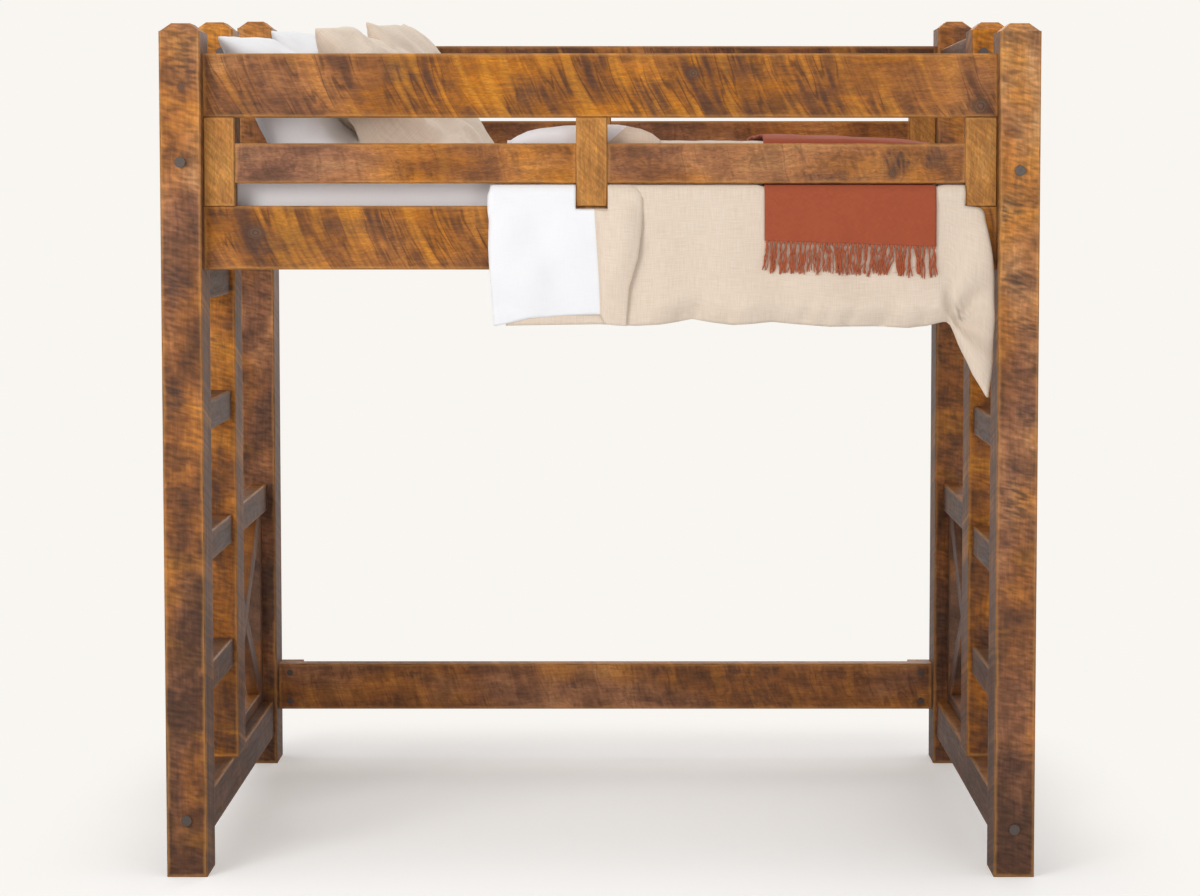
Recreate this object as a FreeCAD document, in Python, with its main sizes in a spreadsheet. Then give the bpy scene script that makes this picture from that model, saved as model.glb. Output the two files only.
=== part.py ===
# Rustic timber loft bed with built-in end ladders, bedding and a throw.
# Frame: X along the bed (head end at -X), Y from front to back, Z up, origin on the
# floor under the middle of the bed. All sizes are in millimetres.
import FreeCAD, Part
import Sketcher
import math
import os
import re

# Driving dimensions, written once. The sheet below holds each of them under its name.
SIZES = {
    # Posts
    "post_width": 100,
    "post_depth": 140,
    "front_post_height": 2100,
    "middle_post_rise": 36,
    "back_post_rise": 86,
    "middle_post_setback": 603,
    "shoulder_height": 20,
    "shoulder_width": 27,
    "arris": 3,
    # Overall
    "inner_length": 1943,
    "bed_depth": 1600,
    # Long rails, front and back
    "rail_thickness": 45,
    "rail_setback": 48,
    "side_rail_drop": 600,
    "side_rail_height": 156,
    "guard_gap": 55,
    "guard_height": 98,
    "top_rail_height": 156,
    "top_rail_drop": 72,
    "back_guard_rise": 88,
    "block_width": 77,
    "block_proud": 4,
    "centre_block_shift": 21,
    # Stretcher between the back posts
    "stretcher_bottom": 152,
    "stretcher_height": 136,
    "stretcher_thickness": 50,
    "stretcher_setback": 60,
    "stretcher_block_width": 66,
    # End frames
    "bottom_rail_bottom": 80,
    "bottom_rail_height": 105,
    "bottom_rail_thickness": 80,
    "rung_height": 76,
    "rung_thickness": 76,
    "left_lowest_rung_top": 505,
    "left_highest_rung_drop": 602,
    "right_lowest_rung_top": 484,
    "right_highest_rung_drop": 656,
    "tenon_length": 25,
    "tenon_height": 44,
    "tenon_thickness": 30,
    "end_rail_thickness": 45,
    "end_guard_height": 98,
    "left_end_guard_drop": 338,
    "right_end_guard_drop": 358,
    "top_end_rail_drop": 45,
    "top_end_rail_inset": 8,
    "middle_rail_top": 832,
    "middle_rail_height": 80,
    "middle_rail_thickness": 50,
    # X brace and its frame
    "brace_width": 60,
    "brace_thickness": 38,
    "brace_inset": 40,
    "stile_width": 42,
    "cleat_height": 36,
    # Deck
    "deck_cleat_size": 38,
    "deck_cleat_rise": 2,
    "slat_width": 89,
    "slat_thickness": 19,
    "slat_end_gap": 3,
    "slat_margin": 24,
    "beam_thickness": 38,
    "beam_height": 57,
    # Bolts and screws
    "bolt_head_radius": 13,
    "bolt_head_height": 6,
    "bolt_shank_radius": 5,
    "bolt_reach": 110,
    "left_foot_bolt_rise": 62,
    "right_foot_bolt_rise": 40,
    "top_rail_bolt_rise": 52,
    "lag_head_radius": 8.5,
    "lag_head_height": 5,
    "lag_shank_radius": 4,
    "lag_edge_inset": 33,
    "lag_end_rise": 26,
    "lag_reach": 20,
    # Bedding
    "mattress_end_room": 19,
    "mattress_side_room": 114,
    "mattress_height": 220,
    "mattress_corner": 70,
    "mattress_edge": 22,
    "mattress_waist": 6,
    "pillow_side_room": 39,
    "pillow_height": 505,
    "pillow_thickness": 166,
    "pillow_gap": 14,
    "pillow_rise": 6,
    "near_pillow_base": 354,
    "far_pillow_base": 404,
    "near_white_sink": 42,
    "duvet_thickness": 37,
    "duvet_head": 230,
    "duvet_foot_room": 8.5,
    "duvet_pinch": 10,
    "duvet_tongue": 40,
    "duvet_panel": 14,
    "drape_depth": 8,
    "drape_pitch": 118,
    "duvet_fall": 294,
    "flap_width": 121.5,
    "flap_tip_inset": 16.5,
    "flap_edge_inset": 5.5,
    "flap_fall": 476,
    "fold_head": 277,
    "fold_foot": 102,
    "fold_foot_hem": 61,
    "fold_fall": 297,
    "fold_hem_rise": 24,
    "fold_mound": 39,
    "fold_roll": 18,
    "fold_bulge": 6,
    "fold_slump": 13,
    "fold_corner": 20,
    "fold_corner_run": 100,
    "fold_seam": 1.5,
    "throw_head": 402,
    "throw_foot": 824,
    "throw_thickness": 6,
    "throw_drape_depth": 5,
    "throw_fall": 94,
    "fringe_length": 78,
    "tassel_width": 20,
    "tassel_gap": 15,
    # Clearances
    "contact": 0.3,
    "joint_clearance": 0.3,
}
SLATS = 12
RUNGS = 4
SIDES = ("left", "right")
GRAIN_COSINE = 0.5

doc = FreeCAD.newDocument("loft_bed")
sheet = doc.addObject("Spreadsheet::Sheet", "Sizes")
for row, (alias, number) in enumerate(SIZES.items(), start=1):
    sheet.set("A%d" % row, alias)
    sheet.set("B%d" % row, str(number))
    sheet.setAlias("B%d" % row, alias)
doc.recompute()
nodes = []


def bound(expression):
    # An expression in size names, made to read them from the sheet.
    return re.sub(r"[a-z][a-z_]+", lambda word: "Sizes." + word.group() if word.group() in SIZES
                  else word.group(), expression)


def size(expression):
    # The present value of an expression in size names.
    return float(sheet.evalExpression(bound(expression)))


def skin(rings):
    # A closed solid over rings of points. Each side of a ring is parallel to the same
    # side of the next one, so every face is flat.
    outlines = [rings[0], rings[-1]]
    for low, high in zip(rings, rings[1:]):
        for start in range(len(low)):
            end = (start + 1) % len(low)
            outlines.append([low[start], low[end], high[end], high[start]])
    shell = Part.makeShell([Part.Face(Part.makePolygon(points + points[:1])) for points in outlines])
    shell.sewShape()
    form = Part.makeSolid(shell)
    if form.Volume < 0:
        form.reverse()
    return form


def keep(item, label):
    # Marks an object as a finished piece of the bed.
    item.Label = label
    nodes.append(item)
    return item


def section(body, plane, across, up, name, offset=None):
    # A rectangle centred on the body's axis, its two sides bound to expressions.
    sketch = body.newObject("Sketcher::SketchObject", name)
    origin_plane = [item for item in body.Origin.OriginFeatures if item.Role == plane][0]
    sketch.AttachmentSupport = (origin_plane, [""])
    sketch.MapMode = "FlatFace"
    corners = [FreeCAD.Vector(-1, -1), FreeCAD.Vector(1, -1), FreeCAD.Vector(1, 1), FreeCAD.Vector(-1, 1)]
    for corner in range(4):
        sketch.addGeometry(Part.LineSegment(corners[corner], corners[(corner + 1) % 4]))
    for corner in range(4):
        sketch.addConstraint(Sketcher.Constraint("Coincident", corner, 2, (corner + 1) % 4, 1))
    for level in (0, 2):
        sketch.addConstraint(Sketcher.Constraint("Horizontal", level))
    for upright in (1, 3):
        sketch.addConstraint(Sketcher.Constraint("Vertical", upright))
    sketch.addConstraint(Sketcher.Constraint("Symmetric", 0, 1, 2, 1, -1, 1))
    wide = sketch.addConstraint(Sketcher.Constraint("DistanceX", 0, 1, 0, 2, 2))
    tall = sketch.addConstraint(Sketcher.Constraint("DistanceY", 1, 1, 1, 2, 2))
    sketch.renameConstraint(wide, "across")
    sketch.renameConstraint(tall, "up")
    sketch.setExpression("Constraints.across", bound(across))
    sketch.setExpression("Constraints.up", bound(up))
    if offset:
        sketch.setExpression("AttachmentOffset.Base.z", bound(offset))
    return sketch


def ease(body, pad, grain, name):
    # Eases the long edges of a sawn timber, the ones that run with the grain.
    doc.recompute()
    along = [index for index, edge in enumerate(pad.Shape.Edges, start=1)
             if abs(getattr(edge.tangentAt(edge.FirstParameter), grain)) > GRAIN_COSINE]
    chamfer = body.newObject("PartDesign::Chamfer", name)
    chamfer.Base = (pad, ["Edge%d" % index for index in along])
    chamfer.setExpression("Size", bound("arris"))


def timber(name, grain, x_span, y_span, z_span, tenons=False, turn=None):
    # A squared timber between low and high expressions on each axis, with eased long
    # edges. With tenons it has a stub tenon at each end. A turn is about its middle.
    spans = {"x": x_span, "y": y_span, "z": z_span}
    extent = {axis: "(%s) - (%s)" % (high, low) for axis, (low, high) in spans.items()}
    plane, across, up = {"x": ("YZ_Plane", "y", "z"), "y": ("XZ_Plane", "x", "z"),
                         "z": ("XY_Plane", "x", "y")}[grain]
    body = doc.addObject("PartDesign::Body", name)
    pad = body.newObject("PartDesign::Pad", name + "_length")
    pad.Profile = section(body, plane, extent[across], extent[up], name + "_section")
    pad.SideType = "Symmetric"
    pad.setExpression("Length", bound(extent[grain]))
    ease(body, pad, grain, name + "_arris")
    if tenons:
        tongue = body.newObject("PartDesign::Pad", name + "_tenons")
        tongue.Profile = section(body, plane, "tenon_thickness", "tenon_height", name + "_tenon")
        tongue.SideType = "Symmetric"
        tongue.setExpression("Length", bound(extent[grain] + " + 2 * tenon_length"))
    for axis, (low, high) in spans.items():
        body.setExpression("Placement.Base." + axis, bound("((%s) + (%s)) / 2" % (low, high)))
    if turn:
        body.Placement.Rotation = FreeCAD.Rotation(FreeCAD.Vector(1, 0, 0), 1)
        body.setExpression("Placement.Rotation.Angle", bound(turn))
    return body


def cut(label, blank, tool):
    # The blank with the tool's volume taken out, kept as a finished piece.
    blank.Label = label + "_blank"
    piece = doc.addObject("Part::Cut", label + "_cut")
    piece.Base = blank
    piece.Tool = tool
    return keep(piece, label)


def group(label, pieces):
    # Alike pieces that share one node.
    compound = doc.addObject("Part::Compound", label + "_group")
    compound.Links = pieces
    return keep(compound, label)


def solid(label, shape):
    # A piece whose shape is worked out here from the sheet's sizes.
    feature = doc.addObject("Part::Feature", label)
    feature.Shape = shape
    return keep(feature, label)


# Places that many pieces share, as expressions in size names
INNER = "inner_length / 2"
OUTER = "(inner_length / 2 + post_width)"
POST_LINE = "(inner_length / 2 + post_width / 2)"
FRONT_OF = {
    "front": "(-bed_depth / 2)",
    "middle": "(-bed_depth / 2 + middle_post_setback)",
    "back": "(bed_depth / 2 - post_depth)",
}
BACK_OF = {place: "(%s + post_depth)" % face for place, face in FRONT_OF.items()}
TOP_OF = {
    "front": "front_post_height",
    "middle": "(front_post_height + middle_post_rise)",
    "back": "(front_post_height + back_post_rise)",
}
BOTTOM_RAIL_TOP = "(bottom_rail_bottom + bottom_rail_height)"
SIDE_RAIL_BOTTOM = "(front_post_height - side_rail_drop)"
SIDE_RAIL_TOP = "(front_post_height - side_rail_drop + side_rail_height)"
GUARD_BOTTOM = "(%s + guard_gap)" % SIDE_RAIL_TOP
GUARD_TOP = "(%s + guard_gap + guard_height)" % SIDE_RAIL_TOP
TOP_END_CENTRE = "(front_post_height - top_end_rail_drop)"
TOP_RAIL_BOTTOM = "(front_post_height - top_rail_drop - top_rail_height)"
TOP_RAIL_TOP = "(front_post_height - top_rail_drop)"
MIDDLE_RAIL_BOTTOM = "(middle_rail_top - middle_rail_height)"
RAIL_SPAN = {
    "front": ("(-bed_depth / 2 + rail_setback)", "(-bed_depth / 2 + rail_setback + rail_thickness)"),
    "back": ("(bed_depth / 2 - rail_setback - rail_thickness)", "(bed_depth / 2 - rail_setback)"),
}
RAISE = {"front": "0", "back": "back_guard_rise"}
SIGN = {"left": -1, "right": 1}


def beside(side, near, far):
    # The span from near to far outwards of the bed's middle, on one side.
    if side == "left":
        return "(-(%s))" % far, "(-(%s))" % near
    return near, far


def post_centred(side, thickness):
    # The span of a timber that stands in the middle of the posts' width.
    return beside(side, "(%s - %s / 2)" % (POST_LINE, thickness), "(%s + %s / 2)" % (POST_LINE, thickness))


def rung_top(side, step):
    # Rungs at even steps from the lowest one to the highest one.
    rise = "(front_post_height - %s_highest_rung_drop - %s_lowest_rung_top)" % (side, side)
    return "(%s_lowest_rung_top + %d * %s / %d)" % (side, step, rise, RUNGS - 1)


def end_guard_centre(side):
    return "(front_post_height - %s_end_guard_drop)" % side


# Bolts. Each one is a domed head on a shank, turned with a few flat sides to keep the
# model light, and its hole has the same sides.
BOLT_SIDES = 12
DOME_SHARES = ((1, 0), (0.88, 0.45), (0.62, 0.8), (0.25, 1))


def ring(radius, height):
    # A regular polygon about the Z axis.
    turns = [2 * math.pi * side / BOLT_SIDES for side in range(BOLT_SIDES)]
    return [FreeCAD.Vector(radius * math.cos(turn), radius * math.sin(turn), height) for turn in turns]


def shank(radius, length):
    # A bar from z = 0 downwards.
    return skin([ring(radius, -length), ring(radius, 0)])


def screw(head_radius, head_height, shank_radius, shank_length):
    # Head above z = 0, shank below.
    head = skin([ring(head_radius * across, head_height * up) for across, up in DOME_SHARES])
    return head.fuse(shank(shank_radius, shank_length))


def placed(shape, point, outward):
    # A copy whose own +Z points outwards, its head's seat on the point.
    copy = shape.copy()
    turn = FreeCAD.Rotation(FreeCAD.Vector(0, 0, 1), FreeCAD.Vector(*outward))
    copy.Placement = FreeCAD.Placement(FreeCAD.Vector(*point), turn)
    return copy


def bolt_line(points, outward, grip):
    # Bolts at these points and the holes that they go through.
    reach = size(grip) + size("bolt_reach")
    bolt = screw(size("bolt_head_radius"), size("bolt_head_height"), size("bolt_shank_radius"), reach)
    hole = shank(size("bolt_shank_radius + joint_clearance"), reach + size("joint_clearance"))
    return ([placed(bolt, point, outward) for point in points],
            [placed(hole, point, outward) for point in points])


def side_rail_bolt_heights():
    return [size(SIDE_RAIL_BOTTOM + " + side_rail_height / 4"), size(SIDE_RAIL_TOP + " - side_rail_height / 4")]


def end_frame_bolts():
    # Bolts along Y, through the posts' front and back faces into the end rails.
    bolts, holes = [], []
    for side in SIDES:
        middle = SIGN[side] * size(POST_LINE)
        inset = SIGN[side] * size(INNER + " + top_end_rail_inset + end_rail_thickness / 2")
        foot = size("bottom_rail_bottom + %s_foot_bolt_rise" % side)
        guard = size(end_guard_centre(side))
        top = size(TOP_END_CENTRE)
        deck = size(SIDE_RAIL_BOTTOM + " + side_rail_height / 2")
        front, waist, back = size(FRONT_OF["front"]), size(FRONT_OF["middle"]), size(BACK_OF["back"])
        runs = (([(middle, front, foot), (middle, front, guard)], (0, -1, 0)),
                ([(inset, waist, top), (middle, waist, deck)], (0, -1, 0)),
                ([(middle, back, foot), (middle, back, guard), (inset, back, top), (middle, back, deck)], (0, 1, 0)))
        for points, outward in runs:
            made, drilled = bolt_line(points, outward, "post_depth")
            bolts += made
            holes += drilled
        stud = shank(size("bolt_shank_radius"), size("post_depth + 2 * bolt_reach"))
        passage = shank(size("bolt_shank_radius + joint_clearance"),
                        size("post_depth + 2 * bolt_reach + 2 * joint_clearance"))
        tip = size("%s + bolt_reach" % BACK_OF["middle"])
        bolts.append(placed(stud, (middle, tip, guard), (0, 1, 0)))
        holes.append(placed(passage, (middle, tip + size("joint_clearance"), guard), (0, 1, 0)))
    return bolts, holes


def long_rail_bolts():
    # Bolts along X, through the posts' outer faces into the ends of the long rails.
    bolts, holes = [], []
    for side in SIDES:
        outward = (SIGN[side], 0, 0)
        face = SIGN[side] * size(OUTER)
        for place, (low, high) in RAIL_SPAN.items():
            line = size("(%s + %s) / 2" % (low, high))
            top = size("%s + top_rail_bolt_rise + %s" % (TOP_RAIL_BOTTOM, RAISE[place]))
            points = [(face, line, height) for height in side_rail_bolt_heights() + [top]]
            made, drilled = bolt_line(points, outward, "post_width")
            bolts += made
            holes += drilled
    return bolts, holes


post_bolts, post_holes = end_frame_bolts()
rail_bolts, rail_holes = long_rail_bolts()
bolt_holes = doc.addObject("Part::Feature", "bolt_holes")
bolt_holes.Shape = Part.makeCompound(post_holes + rail_holes)


# Mortises for the stub tenons of the rungs and the middle rails
def mortises():
    pockets = []
    clearance = size("joint_clearance")
    wide, tall, deep = size("tenon_thickness"), size("tenon_height"), size("tenon_length")
    for side in SIDES:
        middle = SIGN[side] * size(POST_LINE)
        levels = [("front", size("%s - rung_height / 2" % rung_top(side, step))) for step in range(RUNGS)]
        levels.append(("middle", size("middle_rail_top - middle_rail_height / 2")))
        for place, level in levels:
            after = "middle" if place == "front" else "back"
            for y_face, y_sign in ((size(BACK_OF[place]), -1), (size(FRONT_OF[after]), 1)):
                start = y_face if y_sign > 0 else y_face - deep - clearance
                corner = FreeCAD.Vector(middle - wide / 2 - clearance, start, level - tall / 2 - clearance)
                pockets.append(Part.makeBox(wide + 2 * clearance, deep + clearance, tall + 2 * clearance, corner))
    return pockets


mortise_cuts = doc.addObject("Part::Feature", "mortise_cuts")
mortise_cuts.Shape = Part.makeCompound(mortises())
post_cuts = doc.addObject("Part::Compound", "post_cuts")
post_cuts.Links = [bolt_holes, mortise_cuts]


def post(side, place):
    # A square-sawn post with a shouldered top, bored for its bolts and mortised.
    label = "%s_%s_post" % (side, place)
    x_span = beside(side, INNER, OUTER)
    foot = BOTTOM_RAIL_TOP if place == "middle" else "0"
    body = doc.addObject("PartDesign::Body", label + "_timber")
    shaft = body.newObject("PartDesign::Pad", label + "_shaft")
    shaft.Profile = section(body, "XY_Plane", "post_width", "post_depth", label + "_section")
    shaft.setExpression("Length", bound("%s - (%s) - shoulder_height" % (TOP_OF[place], foot)))
    ease(body, shaft, "z", label + "_arris")
    shoulder = "%s - (%s) - shoulder_height" % (TOP_OF[place], foot)
    crown = body.newObject("PartDesign::AdditiveLoft", label + "_crown")
    crown.Profile = section(body, "XY_Plane", "post_width - 2 * arris", "post_depth - 2 * arris",
                            label + "_shoulder", shoulder)
    crown.Sections = [section(body, "XY_Plane", "post_width - 2 * shoulder_width",
                              "post_depth - 2 * shoulder_width", label + "_top",
                              shoulder + " + shoulder_height")]
    crown.Ruled = True
    body.setExpression("Placement.Base.x", bound("((%s) + (%s)) / 2" % x_span))
    body.setExpression("Placement.Base.y", bound("%s + post_depth / 2" % FRONT_OF[place]))
    body.setExpression("Placement.Base.z", bound(foot))
    return cut(label, body, post_cuts)


# End frames: posts, bottom rails, ladder rungs, guard rails and braces
def between(place, after):
    return BACK_OF[place], FRONT_OF[after]


def end_frame(side):
    for place in ("front", "middle", "back"):
        post(side, place)

    bottom = timber(side + "_bottom_end_timber", "y", post_centred(side, "bottom_rail_thickness"),
                    between("front", "back"), ("bottom_rail_bottom", BOTTOM_RAIL_TOP))
    cut(side + "_bottom_end_rail", bottom, bolt_holes)

    for step in range(RUNGS):
        top = rung_top(side, step)
        rung = timber("%s_ladder_rung_%d" % (side, step + 1), "y", post_centred(side, "rung_thickness"),
                      between("front", "middle"), ("%s - rung_height" % top, top), tenons=True)
        keep(rung, "%s_ladder_rung_%d" % (side, step + 1))

    centre = end_guard_centre(side)
    guard_span = ("(%s - end_guard_height / 2)" % centre, "(%s + end_guard_height / 2)" % centre)
    ladder_guard = timber(side + "_ladder_guard_timber", "y", post_centred(side, "end_rail_thickness"),
                          between("front", "middle"), guard_span)
    cut(side + "_ladder_guard_rail", ladder_guard, bolt_holes)
    end_guard = timber(side + "_end_guard_timber", "y", post_centred(side, "end_rail_thickness"),
                       between("middle", "back"), guard_span)
    cut(side + "_end_guard_rail", end_guard, bolt_holes)

    top_x = beside(side, "(%s + top_end_rail_inset)" % INNER,
                   "(%s + top_end_rail_inset + end_rail_thickness)" % INNER)
    top_rail = timber(side + "_top_end_timber", "y", top_x, between("middle", "back"),
                      ("(%s - end_guard_height / 2)" % TOP_END_CENTRE,
                       "(%s + end_guard_height / 2)" % TOP_END_CENTRE))
    cut(side + "_top_end_rail", top_rail, bolt_holes)

    deck_rail = timber(side + "_deck_end_timber", "y", post_centred(side, "end_rail_thickness"),
                       between("middle", "back"), (SIDE_RAIL_BOTTOM, SIDE_RAIL_TOP))
    cut(side + "_deck_end_rail", deck_rail, bolt_holes)

    middle_rail = timber(side + "_middle_end_rail", "y", post_centred(side, "middle_rail_thickness"),
                         between("middle", "back"), (MIDDLE_RAIL_BOTTOM, "middle_rail_top"), tenons=True)
    keep(middle_rail, side + "_middle_end_rail")


# Two half-lapped strips that cross in the bay under the middle rail
CLEAT_TOP = "(bottom_rail_bottom + bottom_rail_height + cleat_height)"
BAY_FRONT = BACK_OF["middle"]
BAY_BACK = "(%s - stile_width)" % FRONT_OF["back"]


def brace(side):
    brace_x = beside(side, "(%s + brace_inset)" % INNER, "(%s + brace_inset + brace_thickness)" % INNER)
    half_x = {"rising": beside(side, "(%s + brace_inset + brace_thickness / 2 - joint_clearance / 2)" % INNER,
                               "(%s + brace_inset + brace_thickness * 3 / 2)" % INNER),
              "falling": beside(side, "(%s + brace_inset - brace_thickness / 2)" % INNER,
                                "(%s + brace_inset + brace_thickness / 2 + joint_clearance / 2)" % INNER)}
    bay_width = "(%s - %s)" % (BAY_BACK, BAY_FRONT)
    bay_height = "(%s - %s)" % (MIDDLE_RAIL_BOTTOM, CLEAT_TOP)
    middle_y = "((%s + %s) / 2)" % (BAY_BACK, BAY_FRONT)
    middle_z = "((%s + %s) / 2)" % (MIDDLE_RAIL_BOTTOM, CLEAT_TOP)
    slope = "atan(%s / %s)" % (bay_height, bay_width)
    reach = "(%s + %s)" % (bay_width, bay_height)
    y_span = ("(%s - %s / 2)" % (middle_y, reach), "(%s + %s / 2)" % (middle_y, reach))
    turns = {"rising": slope, "falling": "-(%s)" % slope}
    for lean, other in (("rising", "falling"), ("falling", "rising")):
        label = "%s_%s_brace" % (side, lean)
        z_span = ("(%s - brace_width / 2)" % middle_z, "(%s + brace_width / 2)" % middle_z)
        strip = timber(label + "_strip", "y", brace_x, y_span, z_span, turn=turns[lean])
        bay = timber_box(label + "_bay", brace_x, (BAY_FRONT, BAY_BACK), (CLEAT_TOP, MIDDLE_RAIL_BOTTOM))
        trimmed = doc.addObject("Part::Common", label + "_trimmed")
        trimmed.Base = strip
        trimmed.Tool = bay
        lap_z = ("(%s - brace_width / 2 - joint_clearance)" % middle_z,
                 "(%s + brace_width / 2 + joint_clearance)" % middle_z)
        lap = timber_box(label + "_lap", half_x[lean], y_span, lap_z, turn=turns[other])
        cut(label, trimmed, lap)
    stile = timber(side + "_brace_stile", "z", brace_x, (BAY_BACK, FRONT_OF["back"]),
                   (BOTTOM_RAIL_TOP, MIDDLE_RAIL_BOTTOM))
    cleat = timber(side + "_brace_cleat", "y", brace_x, (BAY_FRONT, BAY_BACK), (BOTTOM_RAIL_TOP, CLEAT_TOP))
    group(side + "_brace_frame", [stile, cleat])


def timber_box(name, x_span, y_span, z_span, turn=None):
    # A plain centred block that trims or laps another timber.
    body = doc.addObject("PartDesign::Body", name)
    pad = body.newObject("PartDesign::Pad", name + "_length")
    pad.Profile = section(body, "XZ_Plane", "(%s) - (%s)" % (x_span[1], x_span[0]),
                          "(%s) - (%s)" % (z_span[1], z_span[0]), name + "_section")
    pad.SideType = "Symmetric"
    pad.setExpression("Length", bound("(%s) - (%s)" % (y_span[1], y_span[0])))
    for axis, (low, high) in (("x", x_span), ("y", y_span), ("z", z_span)):
        body.setExpression("Placement.Base." + axis, bound("((%s) + (%s)) / 2" % (low, high)))
    if turn:
        body.Placement.Rotation = FreeCAD.Rotation(FreeCAD.Vector(1, 0, 0), 1)
        body.setExpression("Placement.Rotation.Angle", bound(turn))
    return body


for side in SIDES:
    end_frame(side)
    brace(side)


# Long rails, guard blocks and deck cleats, front and back
CENTRE_BLOCK = ("(-centre_block_shift - block_width / 2)", "(-centre_block_shift + block_width / 2)")
LEFT_BLOCK = ("(-%s)" % INNER, "(-%s + block_width)" % INNER)
RIGHT_BLOCK = ("(%s - block_width)" % INNER, "(%s)" % INNER)
CLEAT_Z = ("(%s + deck_cleat_rise)" % SIDE_RAIL_BOTTOM, "(%s + deck_cleat_rise + deck_cleat_size)" % SIDE_RAIL_BOTTOM)


def long_side(place):
    y_span = RAIL_SPAN[place]
    full = ("(-%s)" % INNER, "(%s)" % INNER)
    lift = RAISE[place]
    side_rail = timber(place + "_side_timber", "x", full, y_span, (SIDE_RAIL_BOTTOM, SIDE_RAIL_TOP))
    cut(place + "_side_rail", side_rail, bolt_holes)
    top_rail = timber(place + "_top_timber", "x", full, y_span,
                      ("(%s + %s)" % (TOP_RAIL_BOTTOM, lift), "(%s + %s)" % (TOP_RAIL_TOP, lift)))
    cut(place + "_top_rail", top_rail, bolt_holes)
    guard_z = ("(%s + %s)" % (GUARD_BOTTOM, lift), "(%s + %s)" % (GUARD_TOP, lift))
    for name, x_span in (("left", (LEFT_BLOCK[1], CENTRE_BLOCK[0])), ("right", (CENTRE_BLOCK[1], RIGHT_BLOCK[0]))):
        label = "%s_%s_guard_rail" % (place, name)
        keep(timber(label, "x", x_span, y_span, guard_z), label)
    outer_y = {"front": ("(%s - block_proud)" % y_span[0], y_span[1]),
               "back": (y_span[0], "(%s + block_proud)" % y_span[1])}[place]
    block_z = (SIDE_RAIL_TOP, "(%s + %s)" % (TOP_RAIL_BOTTOM, lift))
    blocks = [timber("%s_block_%d" % (place, index), "z", x_span, outer_y, block_z)
              for index, x_span in enumerate((LEFT_BLOCK, CENTRE_BLOCK, RIGHT_BLOCK), start=1)]
    group(place + "_guard_blocks", blocks)
    inside = {"front": (y_span[1], "(%s + deck_cleat_size)" % y_span[1]),
              "back": ("(%s - deck_cleat_size)" % y_span[0], y_span[0])}[place]
    cleat = timber(place + "_deck_cleat", "x", full, inside, CLEAT_Z)
    keep(cleat, place + "_deck_cleat")


for place in ("front", "back"):
    long_side(place)


# Deck slats across the bed, on the cleats, and a beam under their middle
SLAT_BOTTOM = CLEAT_Z[1]
SLAT_TOP = "(%s + slat_thickness)" % CLEAT_Z[1]
slat_y = ("(%s + slat_end_gap)" % RAIL_SPAN["front"][1], "(%s - slat_end_gap)" % RAIL_SPAN["back"][0])
slat_step = "((inner_length - slat_width - 2 * slat_margin) / %d)" % (SLATS - 1)
slats = []
for index in range(SLATS):
    low = "(-%s + slat_margin + %d * %s)" % (INNER, index, slat_step)
    slats.append(timber("slat_%d" % (index + 1), "y", (low, "(%s + slat_width)" % low), slat_y,
                        (SLAT_BOTTOM, SLAT_TOP)))
group("deck_slats", slats)
beam_end = "(%s - end_rail_thickness / 2)" % POST_LINE
keep(timber("deck_centre_beam", "x", ("(-%s)" % beam_end, beam_end), ("(-beam_thickness / 2)", "(beam_thickness / 2)"),
            ("(%s - beam_height)" % SLAT_BOTTOM, SLAT_BOTTOM)), "deck_centre_beam")


# Stretcher low between the back posts, on a block at each post
stretcher_front = "(%s + stretcher_setback)" % FRONT_OF["back"]
stretcher_back = "(%s + stretcher_thickness)" % stretcher_front
stretcher_top = "(stretcher_bottom + stretcher_height)"


def lag_screws():
    screws, holes = [], []
    reach = size("stretcher_thickness + lag_reach")
    lag = screw(size("lag_head_radius"), size("lag_head_height"), size("lag_shank_radius"), reach)
    hole = shank(size("lag_shank_radius + joint_clearance"), reach + size("joint_clearance"))
    for side in SIDES:
        across = SIGN[side] * size(INNER + " - lag_edge_inset")
        for height in (size("stretcher_bottom + lag_end_rise"), size("%s - lag_end_rise" % stretcher_top)):
            point = (across, size(stretcher_front), height)
            screws.append(placed(lag, point, (0, -1, 0)))
            holes.append(placed(hole, point, (0, -1, 0)))
    return screws, holes


lags, lag_cuts = lag_screws()
lag_holes = doc.addObject("Part::Feature", "lag_holes")
lag_holes.Shape = Part.makeCompound(lag_cuts)
stretcher = timber("stretcher_timber", "x", ("(-%s)" % INNER, INNER), (stretcher_front, stretcher_back),
                   ("stretcher_bottom", stretcher_top))
cut("back_stretcher", stretcher, lag_holes)
stretcher_blocks = doc.addObject("Part::Compound", "stretcher_block_pair")
stretcher_blocks.Links = [
    timber(side + "_stretcher_block", "z", beside(side, "(%s - stretcher_block_width)" % INNER, INNER),
           (stretcher_back, BACK_OF["back"]), ("stretcher_bottom", stretcher_top)) for side in SIDES]
cut("stretcher_blocks", stretcher_blocks, lag_holes)
solid("post_bolts", Part.makeCompound(post_bolts))
solid("rail_bolts", Part.makeCompound(rail_bolts))
solid("stretcher_lag_screws", Part.makeCompound(lags))


# Bedding
MATTRESS_BOTTOM = "(%s + contact)" % SLAT_TOP
MATTRESS_TOP = "(%s + mattress_height)" % MATTRESS_BOTTOM
MATTRESS_LENGTH = "(inner_length - 2 * mattress_end_room)"
MATTRESS_DEPTH = "(bed_depth - 2 * mattress_side_room)"
PILLOW_LENGTH = "((%s - pillow_gap) / 2 - pillow_side_room)" % MATTRESS_DEPTH


CORNER_STEPS = 5


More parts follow.
